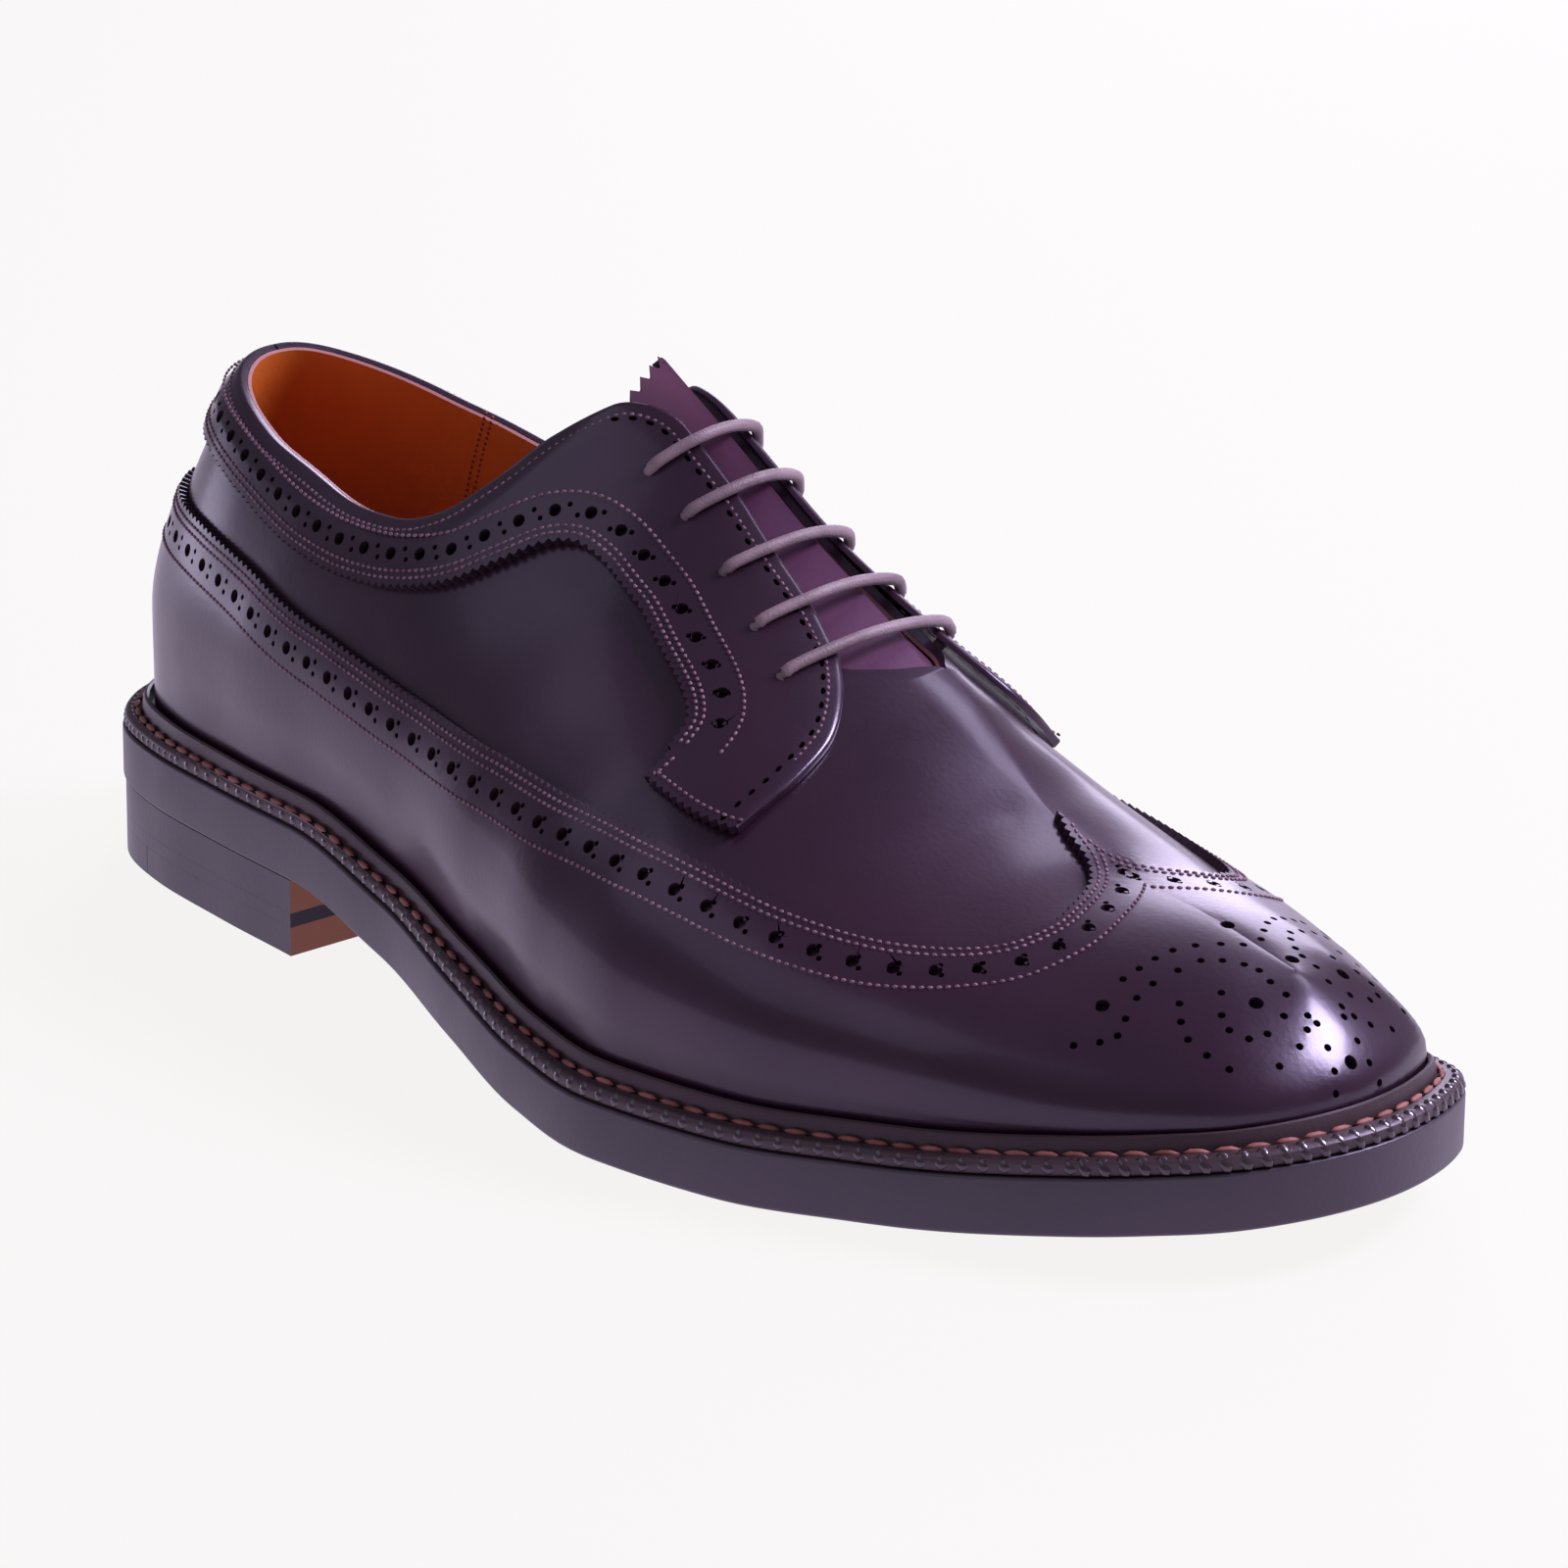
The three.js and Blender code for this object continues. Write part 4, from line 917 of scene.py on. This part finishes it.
# %% Wing
OVERLAY_BASE = UPPER_THICKNESS + GAP
SUNK = 0.25  # the overlays' undersides sink into the upper, so that no slit shows
wing = two_sided("wing_overlay", between(feet, wings, WING_ROWS), OVERLAY_BASE - SUNK,
                 OVERLAY_BASE + WING_THICKNESS, cordovan)
wing_middle = OVERLAY_BASE + WING_THICKNESS / 2
punch(wing, hole_rows(lambda distance: both_sides(wing_edge, distance, wing_middle))
      + [teeth_along(both_sides(wing_edge, 0, wing_middle), CUT_DEPTH)])
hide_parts("wing")
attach(wing, "root")

# %% [markdown]
# The medallion on the toe is punched by hand with single round punches, large and small, in
# scrolls that mirror each other. Its holes are kept as places on the last; those off the
# middle line are repeated on the other side. A second tree sets one pin on each place.

# %% Medallion
MEDALLION_PAIRS = [(0.887, 0.58), (0.972, 0.70)]
MEDALLION_MIDDLE = [(0.922, 0.99), (0.980, 0.92), (1.0, 0.41)]
SCROLLS = [
    # number of holes, then places that the scroll runs through
    (7, (0.889, 0.68), (0.905, 0.82), (0.947, 0.95)),
    (8, (0.907, 0.69), (0.930, 0.825), (0.965, 0.86), (0.990, 0.77)),
    (5, (0.883, 0.43), (0.903, 0.49), (0.903, 0.63)),
    (5, (0.927, 0.64), (0.938, 0.51), (0.963, 0.40)),
    (6, (0.947, 0.71), (0.955, 0.58), (0.975, 0.54), (0.988, 0.66)),
    (4, (0.997, 0.67), (0.995, 0.56), (0.986, 0.42)),
    (4, (0.9985, 0.63), (0.9990, 0.44), (0.9985, 0.24)),
]
MEDALLION_BIG_HOLE, MEDALLION_SMALL_HOLE = 2.6, 1.4


def pin_tree():
    """One upright cylinder on each point, as wide as the point's hole_size."""
    tree, given = new_tree("pin_on_point", Height=0.003)
    pin = put(tree, "GeometryNodeMeshCylinder", {"Vertices": 12, "Radius": 0.5, "Depth": given["Height"]})
    width = put(tree, "GeometryNodeInputNamedAttribute", {"Name": "hole_size"}).outputs["Attribute"]
    size = put(tree, "ShaderNodeCombineXYZ", {"X": width, "Y": width, "Z": 1.0})
    place = put(tree, "GeometryNodeInstanceOnPoints", {
        "Points": given["Geometry"], "Instance": pin.outputs["Mesh"],
        "Rotation": upright(tree), "Scale": size.outputs["Vector"]})
    return finish_tree(tree, given, place, False)


def pins(name, places, offset, height):
    """places are (share, up, side, diameter) rows."""
    points, normals, widths = [], [], []
    for share, up, side, diameter in places:
        t, a = np.array([angle_of(share)]), np.array([up])
        normal = side_normal(t, a, side)
        if up > 1 - 1e-6 or share > 1 - 1e-6:
            normal = unit(normal + side_normal(t, a, -side))
        points.append(skin_point(t, a, side, offset)[0])
        normals.append(normal[0])
        widths.append(diameter / 1000)
    thing = marked_object(name, points, [], surface_normal=normals, hole_size=widths)
    old = thing.data
    thing.data = run_tree(thing, PIN_TREE, Height=height / 1000, Material=cut_edge)
    bpy.data.meshes.remove(old)
    return thing


PIN_TREE = pin_tree()
medallion = [(share, up, INNER, MEDALLION_BIG_HOLE) for share, up in MEDALLION_MIDDLE]
for side in (OUTER, INNER):
    medallion += [(share, up, side, MEDALLION_BIG_HOLE) for share, up in MEDALLION_PAIRS]
    for count, *places in SCROLLS:
        knots, want = np.linspace(0, 1, len(places)), np.linspace(0, 1, count)
        shares = curve(knots, [place[0] for place in places])(want)
        ups = curve(knots, [place[1] for place in places])(want)
        medallion += [(share, up, side, MEDALLION_SMALL_HOLE) for share, up in zip(shares, ups)]
punch(wing, [pins("medallion_pins", medallion, wing_middle, CUT_DEPTH)])
print("medallion of", len(medallion), "holes")

# %% [markdown]
# Facings carry the eyelets, and behind them the collar band runs round to the back seam.
# Each side is one piece with a swallow tail at the front. Its lower edge is pinked and its
# top edge is folded, so the outer face rolls over there.

# %% Facings
straight = int((fold_steps <= FACING_END + 1e-9).sum())
BACK_SLIT = 0.006


def facing_columns():
    steps = fold_steps[:straight]
    low, high = spot(face_line, steps), spot(top_line, steps)
    low[0, 0], high[0, 0] = BACK_SLIT, BACK_SLIT
    more = np.linspace(0, len(FACING_FRONT) - 1, 40)[1:]
    return (np.concatenate([low, spot(front_face_line, more)]),
            np.concatenate([high, spot(front_top_line, more)]))


ROLL = 1.3
TOP_EDGE_ROWS = np.array([6.0, 3.0, 1.3, 0.9, 0.55, 0.28, 0.1, 0.0])
FLAT_ROWS = 10
SKIVE, COLLAR_SKIVE, FOLDED_IN = 0.5, 0.8, 0.85
SKIVE_END, SKIVE_RUN = 6, 5


def collar_part(share, up):
    """1 along the collar, where the edge is thinned and folded in, 0 along the lacing."""
    return np.clip((0.88 - up) / 0.1, 0, 1) * (share < 0.4)


def facing_panel(name, side):
    wall = Wall()
    low, high = facing_columns()
    run = last_point(low[:, 0], low[:, 1], side) - last_point(high[:, 0], high[:, 1], side)
    length = np.maximum(np.linalg.norm(run, axis=1), 1.0)
    near = TOP_EDGE_ROWS[None] / np.maximum(length, 8.0)[:, None]
    flat = np.linspace(0, 1, FLAT_ROWS + 1)[None, :-1]
    shares = np.concatenate([flat * (1 - near[:, :1]), 1 - near], axis=1)
    columns = low[:, None] + (high - low)[:, None] * shares[..., None]
    depth = np.concatenate([np.full(FLAT_ROWS, 9.0), TOP_EDGE_ROWS])
    roll = ROLL - np.sqrt(np.maximum(0, ROLL ** 2 - np.maximum(0, ROLL - depth) ** 2))
    collar = collar_part(share_of(high[:, 0]), high[:, 1])[:, None]
    skive = (SKIVE + COLLAR_SKIVE * collar) * np.clip((SKIVE_END - depth) / SKIVE_RUN, 0, 1)
    lift = facing_lift(share_of(high[:, 0]), side)[:, None]
    outer = OVERLAY_BASE + FACING_THICKNESS - roll[None] * 0.7 - skive + lift
    inner = OVERLAY_BASE - SUNK + lift
    inner = inner + (FOLDED_IN - inner) * collar * np.clip((1.5 - depth) / 0.4, 0, 1)
    lay(wall, columns, side, inner, outer)
    return smooth(wall.build(name, cordovan))


def facing_rows(side, edge, distance, offset, inward=1):
    line = row(edge, side, distance, inward)
    share = share_of(line[:, 0])
    near_top = np.clip((SKIVE_END - distance) / SKIVE_RUN, 0, 1) if inward > 0 else 0
    thinned = COLLAR_SKIVE * collar_part(share, line[:, 1]) * near_top
    return [on_shoe(line, side, offset - thinned + facing_lift(share, side))]


facing_middle = OVERLAY_BASE + FACING_THICKNESS / 2
SWALLOW_TAIL, SLIT_ROW = 6, 3.4
SLIT_START = int((fold_steps < 10).sum())
for side, name in ((OUTER, "outer_facing"), (INNER, "inner_facing")):
    panel = facing_panel(name + "_leather", side)
    low, high = facing_columns()
    lower = low[:straight - SWALLOW_TAIL]
    cutters = hole_rows(lambda distance: facing_rows(side, lower, distance, facing_middle, -1))
    slit_line = facing_rows(side, high[SLIT_START:], SLIT_ROW, facing_middle)
    cutters.append(repeated("slits", "hole", slit_line, cut_edge, Spacing=3.3, Length=1.7, Width=0.9,
                            Height=CUT_DEPTH))
    cutters.append(teeth_along(facing_rows(side, low, 0, facing_middle), CUT_DEPTH + 1))
    punch(panel, cutters)
    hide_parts(name)
    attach(panel, "root")

# %% [markdown]
# Seams are sewn with a fine waxed thread, seven to eight stitches to the centimetre. Each
# stitch is a small flat grain that sits on the leather in line with its seam. The lining has
# one seam of its own, which runs down inside the inner quarter.

# %% Seams
thread, tree, principled = shader("thread", (0.16, 0.075, 0.12), 0.55)
two_tone(tree, principled, cloud(tree, 300, 2), (0.12, 0.05, 0.085), (0.26, 0.14, 0.20))
SEAM = dict(Spacing=1.5, Length=1.1, Width=0.7, Height=0.55)
WING_SEAMS, FACING_SEAMS, TAIL_SEAM, TOP_SEAM = (1.7, 3.1, 9.7), (1.8, 3.1, 9.7), 2.0, 2.6
PROUD = 0.04
wing_top, facing_top = OVERLAY_BASE + WING_THICKNESS, OVERLAY_BASE + FACING_THICKNESS
seam_lines = []
for distance in WING_SEAMS:
    seam_lines += both_sides(wing_edge, distance, wing_top + PROUD)
for side in (OUTER, INNER):
    low, high = facing_columns()
    for distance in FACING_SEAMS:
        seam_lines += facing_rows(side, low[:straight - 3], distance, facing_top + PROUD, -1)
    seam_lines += facing_rows(side, low[straight:], TAIL_SEAM, facing_top + PROUD, -1)
    seam_lines += facing_rows(side, high[:-6], TOP_SEAM, facing_top - SKIVE * 0.7)
seams = repeated("seams", "stitch", seam_lines, thread, **SEAM)
LINING_SEAM, SEAM_LOW, SEAM_HIGH = (0.142, 0.148), 0.22, 0.52
seam_ups = np.linspace(SEAM_LOW, SEAM_HIGH, 30)
lining_rows = []
for share in LINING_SEAM:
    angles = np.full_like(seam_ups, angle_of(share))
    lining_rows.append((skin_point(angles, seam_ups, INNER, 0.0), -side_normal(angles, seam_ups, INNER)))
lining_thread = shader("lining_thread", (0.30, 0.07, 0.02), 0.6)[0]
lining_seam = repeated("lining_seam", "stitch", lining_rows, lining_thread, **SEAM)
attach(lining_seam, "root")
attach(seams, "root")
print("seams have", len(seams.data.polygons), "faces")

# %% [markdown]
# The tongue is a plain sheet under the facings with a pinked tip that stands up above the
# top lace. It takes the same last, a little inside the upper. Past the lacing it is loose, so
# it widens and its outer corner reaches back, and every second column ends a tooth earlier.

# %% Tongue
TONGUE_FRONT, TONGUE_TIP, TONGUE_SPREAD, TONGUE_THICKNESS = 0.625, 0.235, 0.17, 2.2
TIP_FLARE, TIP_PULL, TOOTH, TEETH = 0.045, 4.5, 1.7, 15
TONGUE_DEPTH, LOOSE_FROM, LOOSE_RUN = 0.45, 0.34, 0.08


def tongue_grid(offset):
    shares = np.linspace(TONGUE_FRONT, TONGUE_TIP, 60)
    x = last_point(angle_of(shares), np.ones_like(shares), OUTER)[:, 0]
    columns = []
    for k, j in enumerate(np.linspace(-1, 1, 2 * TEETH + 1)):
        side = OUTER if j < 0 else INNER
        loose = np.clip((LOOSE_FROM - shares) / LOOSE_RUN, 0, 1)
        up = 1 - (TONGUE_SPREAD + TIP_FLARE * loose) * abs(j)
        back = x - TIP_PULL * loose * max(0, -j)
        back[-1] += TOOTH * (k % 2)
        columns.append(skin_point(angle_of(share_at_x(back, up, side)), up, side, offset))
    return np.stack(columns, 1)


tongue_wall = Wall()
tongue_wall.grid(tongue_grid(-TONGUE_DEPTH), tongue_grid(-TONGUE_DEPTH - TONGUE_THICKNESS), True)
tongue = smooth(tongue_wall.build("tongue_leather_sheet", tongue_leather, cut_edge, 2))
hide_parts("tongue")
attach(tongue, "root")

# %% [markdown]
# Sole parts are swept: a small profile runs round the outline of the sole. The outsole's edge
# is sanded, inked and burnished, so it is smooth with softly broken corners.

# %% Outsole, welt and insole
SWEEP_STEPS = 150
sweep_angles = np.linspace(0, math.pi, SWEEP_STEPS)


def ring(inset, height):
    """One closed loop: outer side from heel to toe, inner side back."""
    loops = []
    share = share_of(sweep_angles)
    insets = inset(share) if callable(inset) else np.full_like(share, inset)
    for side in (OUTER, INNER):
        x, y = outline_point(sweep_angles, side, insets)
        loops.append(np.stack([x, y, height(x)], -1))
    return np.concatenate([loops[0], loops[1][-2:0:-1]])


def swept(name, profile, material, closed=True):
    """profile is a list of (inset, height function). closed joins its last point to its first."""
    rings = [ring(inset, height) for inset, height in profile]
    count = len(rings[0])
    vertices = np.concatenate(rings)
    faces = []
    for k in range(len(rings) if closed else len(rings) - 1):
        a, b = k * count, (k + 1) % len(rings) * count
        faces += [(a + i, a + (i + 1) % count, b + (i + 1) % count, b + i) for i in range(count)]
    if not closed:
        half = SWEEP_STEPS - 1
        for k, flip in ((0, True), (len(rings) - 1, False)):
            base = k * count
            for i in range(half):
                quad = [base + i, base + i + 1, base + (count - i - 1) % count, base + (count - i) % count]
                quad = [v for n, v in enumerate(quad) if v != quad[n - 1]]
                faces.append(tuple(reversed(quad)) if flip else tuple(quad))
    return mesh_object(name, metres(vertices), faces, material)


def over(base, h):
    return lambda x: base(x) + h


EDGE_BREAK = 0.9
sole_edge = leather("sole_edge", (0.044, 0.034, 0.044), (0.064, 0.050, 0.064), 0.40, 0.12, 0.25, 0.35)
corner = [(EDGE_BREAK * (1 - math.sin(a)), EDGE_BREAK * (1 - math.cos(a)))
          for a in np.linspace(0, math.pi / 2, 5)]
DEEP_INSIDE = FEATHER_REACH * 3
profile = [(DEEP_INSIDE, over(underside, 0.0))]
profile += [(inset, over(underside, h)) for inset, h in corner]
profile += [(inset * 0.6, over(outsole_top, -h * 0.6)) for inset, h in reversed(corner)]
profile += [(DEEP_INSIDE, over(outsole_top, 0.0))]
outsole = smooth(swept("outsole_leather", profile, sole_edge, closed=False), 50)
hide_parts("outsole")
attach(outsole, "root")

WELT_EDGE, LIP_HEIGHT, LIP_WIDTH, LIP_CLEARANCE = 0.5, 2.5, 2.1, 0.35
layers = OVERLAY_BASE + WING_THICKNESS


def reach(share):
    return FEATHER_REACH * section["reach"](share)


def from_upper(d):
    return lambda share: reach(share) - layers - GAP - d


def inside_reach(d):
    return lambda share: reach(share) + d


welt_base = over(outsole_top, GAP)
welt_leather = leather("welt_leather", (0.036, 0.020, 0.022), (0.060, 0.034, 0.037), 0.45, 0.15, 0.3, 0.6)
welt_profile = [(inset, over(welt_base, height)) for inset, height in (
    # the edge, stepped back for the beads
    (WELT_EDGE + 0.25, 0), (WELT_EDGE, 0.35), (WELT_EDGE, WELT_THICKNESS - 1.3),
    (WELT_EDGE + 0.4, WELT_THICKNESS - 0.8), (WELT_EDGE + 1.0, WELT_THICKNESS - 0.6),
    # the groove for the stitches
    (from_upper(LIP_WIDTH + 1.5), WELT_THICKNESS - 0.45),
    (from_upper(LIP_WIDTH + 1.3), WELT_THICKNESS - 0.95),
    (from_upper(LIP_WIDTH + 0.3), WELT_THICKNESS - 0.95), (from_upper(LIP_WIDTH), WELT_THICKNESS + 0.1),
    # the rounded lip against the upper
    (from_upper(LIP_WIDTH * 0.92), WELT_THICKNESS + LIP_HEIGHT * 0.6),
    (from_upper(LIP_WIDTH * 0.78), WELT_THICKNESS + LIP_HEIGHT * 0.9),
    (from_upper(LIP_WIDTH * 0.56), WELT_THICKNESS + LIP_HEIGHT),
    (from_upper(LIP_CLEARANCE * 2), WELT_THICKNESS + LIP_HEIGHT * 0.9),
    (from_upper(LIP_CLEARANCE), WELT_THICKNESS),
    # under the upper
    (inside_reach(0.8), WELT_THICKNESS), (inside_reach(0.8), 0))]
welt = smooth(swept("welt_strip", welt_profile, welt_leather), 40)
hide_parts("welt")
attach(welt, "root")

SOCK_HEIGHT = 2.2
insole = smooth(swept("insole_sock", [
    (DEEP_INSIDE, over(welt_base, 0)), (inside_reach(1.1), over(welt_base, 0)),
    (inside_reach(1.1), over(welt_top, SOCK_HEIGHT - 0.3)), (inside_reach(1.5), over(welt_top, SOCK_HEIGHT)),
    (DEEP_INSIDE, over(welt_top, SOCK_HEIGHT))], insole_leather, closed=False), 50)
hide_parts("insole")
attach(insole, "root")
print("sole parts swept")

# %% [markdown]
# A storm welt is wheeled: a hot toothed wheel leaves a bead for every stitch along the edge.
# The stitches themselves lie in the groove between the beads and the lip against the upper.

# %% Beads and stitches of the welt
def welt_line(inset, height, lean=0.0):
    """A closed run round the sole from the heel; its normal leans outwards from upright."""
    more = (lambda share: inset(share) + 1) if callable(inset) else inset + 1
    loop, inside = ring(inset, over(welt_base, height)), ring(more, over(welt_base, height))
    outward = unit((loop - inside) * (1, 1, 0))
    normals = outward * math.sin(lean) + np.array([0, 0, math.cos(lean)])
    return np.concatenate([loop, loop[:1]]), np.concatenate([normals, normals[:1]])


def welt_part(run, start, end):
    """The two stretches of a run between two shares of the length, or the one round an end."""
    points, normals = run
    if start <= 0:
        points, normals = (np.roll(values[:-1], SWEEP_STEPS, axis=0) for values in run)
    inside = (points[:, 0] >= start * SOLE_LENGTH) & (points[:, 0] <= end * SOLE_LENGTH)
    edges = np.flatnonzero(np.diff(np.concatenate([[0], inside.astype(int), [0]])))
    return [(points[a:b], normals[a:b]) for a, b in zip(edges[::2], edges[1::2])]


HEEL_RUN, TOE_RUN, PAST_END = 0.13, 0.90, 0.01  # shares of the sole's length
bead_leather = leather("bead_leather", (0.022, 0.013, 0.015), (0.055, 0.035, 0.036), 0.24, 0.8, 0.12, 0.6)
bead_line = welt_line(WELT_EDGE + 0.7, WELT_THICKNESS - 1.7, 1.0)
bead_rows = []
for name, start, end, sizes in (
        ("welt_beads", HEEL_RUN, TOE_RUN, dict(Spacing=3.7, Length=3.0, Width=2.9, Height=1.8)),
        ("welt_toe_beads", TOE_RUN, 1 + PAST_END,
         dict(Spacing=3.3, Length=2.6, Width=3.9, Height=1.8, Turn=0.45)),
        ("welt_heel_beads", -PAST_END, HEEL_RUN, dict(Spacing=2.5, Length=1.9, Width=2.9, Height=1.6))):
    bead_rows.append(repeated(name, "bead", welt_part(bead_line, start, end), bead_leather, **sizes))
beads, toe_beads, heel_beads = bead_rows
welt_thread, tree, principled = shader("welt_thread", (0.26, 0.08, 0.07), 0.6)
two_tone(tree, principled, cloud(tree, 200, 2), (0.17, 0.045, 0.04), (0.37, 0.14, 0.12))
stitch_line = welt_line(from_upper(LIP_WIDTH + 0.9), WELT_THICKNESS - 0.35, 0.5)
welt_stitches = repeated("welt_stitches", "stitch", [stitch_line], welt_thread,
                         Spacing=5.0, Length=4.7, Width=1.3, Height=1.1)
for piece, slot in ((beads, "welt_leather"), (toe_beads, "welt_leather"),
                    (heel_beads, "welt_leather"), (welt_stitches, "lace")):
    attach(piece, "root")
print("beads", len(beads.data.polygons), "welt stitches", len(welt_stitches.data.polygons))

# %% [markdown]
# The heel is a stack. Leather lifts show their cut edges at the breast, a dark band runs
# between them, and the top piece is rubber behind and leather in front.

# %% Heel
HEEL_INSET, TOP_PIECE_THICKNESS, MIDDLE_LIFT_THICKNESS, TOP_PIECE_JOINT = 0.4, 5.2, 2.4, 27.0
heel_leather = leather("heel_leather", (0.20, 0.065, 0.025), (0.30, 0.11, 0.045), 0.6, 0.05, 0.4, 0.6)
dark_lift = leather("dark_lift", (0.012, 0.010, 0.012), (0.02, 0.017, 0.02), 0.6, 0.0, 0.4, 0.4)


def lift(name, node, slot, start, end, low, high, face_material):
    """A plate with the outline's rear. Its rim takes the sole's ink and its breast stays raw."""
    angles = np.linspace(angle_of(start / SOLE_LENGTH), angle_of(end / SOLE_LENGTH), 48)
    loop = []
    for side, order in ((OUTER, angles), (INNER, angles[::-1])):
        x, y = outline_point(order, side, np.full_like(order, HEEL_INSET))
        loop += [(px, py) for px, py in zip(x, y)]
    loop = [p for n, p in enumerate(loop) if math.dist(p, loop[n - 1]) > 0.01]
    n = len(loop)
    vertices = [(x, y, z) for z in (low, high) for x, y in loop]
    faces = [tuple(range(n - 1, -1, -1)), tuple(range(n, 2 * n))]
    faces += [(i, (i + 1) % n, n + (i + 1) % n, n + i) for i in range(n)]
    thing = mesh_object(name, metres(vertices), faces, sole_edge)
    thing.data.materials.append(face_material)
    for polygon in thing.data.polygons:
        polygon.use_smooth = True
        if abs(polygon.normal.z) > 0.5 or polygon.normal.x > 0.9:
            polygon.material_index = 1
    thing.data.set_sharp_from_angle(angle=math.radians(40))
    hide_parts(node)
    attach(thing, "root")


# each plate reaches almost to the next one, so that the stack shows no open joint
middle_low = TOP_PIECE_THICKNESS + GAP
upper_low = middle_low + MIDDLE_LIFT_THICKNESS + GAP
top_high = TOP_PIECE_THICKNESS + 0.28
lift("top_piece_rubber", "top_piece_rear", "heel_rubber", 0, TOP_PIECE_JOINT - 0.15, 0, top_high, dark_lift)
lift("top_piece_leather", "top_piece_front", "heel_leather", TOP_PIECE_JOINT, HEEL_LENGTH, 0, top_high,
     heel_leather)
lift("dark_band", "middle_lift", "dark_lift", 0, HEEL_LENGTH, middle_low, upper_low - 0.02, dark_lift)
lift("leather_lift", "upper_lift", "heel_leather", 0, HEEL_LENGTH, upper_low, HEEL_HEIGHT - 0.02,
     heel_leather)
print("heel stacked to", HEEL_HEIGHT, "mm")

# %% [markdown]
# Laces are thin waxed cords in straight bars. Each bar comes up through an eyelet, crosses
# the gap over the tongue and goes down through the eyelet opposite. The upper bars lie slacker
# than the lower ones and sag towards the toe.

# %% Laces
LACE_RADIUS, LACE_RISE = 1.1, 1.4
TOP_SLACK, SLACK_STEP, DEPTHS_IN_EYELET = 4.0, 0.5, (4.2, 2.6, 1.2)
lace_cord, tree, principled = shader("lace_cord", (0.22, 0.13, 0.17), 0.5)
two_tone(tree, principled, cloud(tree, 120, 2), (0.17, 0.112, 0.135), (0.29, 0.205, 0.24))
bump(tree, principled, cloud(tree, 2500, 3), 0.5, 0.00015)


def tube(path, radius, sides=10):
    """Rings round a path, closed by a cap at each end; returns points and faces."""
    path = np.asarray(path)
    tangent = unit(np.gradient(path, axis=0))
    across = unit(np.cross(tangent, [0.2, 0.1, 1.0]))
    lift_way = np.cross(across, tangent)
    turn = np.linspace(0, 2 * math.pi, sides, endpoint=False)
    rings = path[:, None] + radius * (across[:, None] * np.cos(turn)[None, :, None]
                                      + lift_way[:, None] * np.sin(turn)[None, :, None])
    count = len(path)
    faces = []
    for i in range(0, (count - 1) * sides, sides):
        faces += [(i + k, i + sides + k, i + sides + (k + 1) % sides, i + (k + 1) % sides)
                  for k in range(sides)]
    faces += [tuple(range(sides)), tuple((count - 1) * sides + k for k in reversed(range(sides)))]
    return rings.reshape(-1, 3), faces


def on_facing(x, up, side, clear):
    share = share_at_x(np.array([x]), np.array([up]), side)
    angle = angle_of(share)
    return skin_point(angle, np.array([up]), side, clear)[0], side_normal(angle, np.array([up]), side)[0]


for index, (along, up, edge) in enumerate(EYELETS):
    x = float(last_point(angle_of(along), up, OUTER)[0])
    slack = TOP_SLACK - SLACK_STEP * index
    path, upward, edges = [], np.zeros(3), []
    for side in (OUTER, INNER):
        clear = OVERLAY_BASE + FACING_THICKNESS + float(facing_lift(along, side)) + LACE_RADIUS
        eyelet, normal = on_facing(x, up, side, clear)
        sunk = [eyelet - normal * depth for depth in DEPTHS_IN_EYELET]
        lying = [on_facing(x + slack * u, up + (edge - up) * u, side, clear)[0]
                 for u in np.linspace(0, 1, 9)]
        upward = upward + normal
        edges.append(sunk + lying)
    start, end = edges[0][-1], edges[1][-1]
    for u in np.linspace(0, 1, 14)[1:-1]:
        path.append(start + (end - start) * u + unit(upward) * LACE_RISE * 4 * u * (1 - u))
    path = edges[0] + path + edges[1][::-1]
    for _ in range(3):
        path[3:-3] = [(path[n - 1] + 2 * path[n] + path[n + 1]) / 4 for n in range(3, len(path) - 3)]
    points, faces_of = tube(path, LACE_RADIUS)
    bar = smooth(mesh_object(f"lace_{index + 1}", metres(points), faces_of, lace_cord), 60)
    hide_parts(f"lace_bar_{index + 1}")
    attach(bar, "root")
print(len(EYELETS), "lace bars")
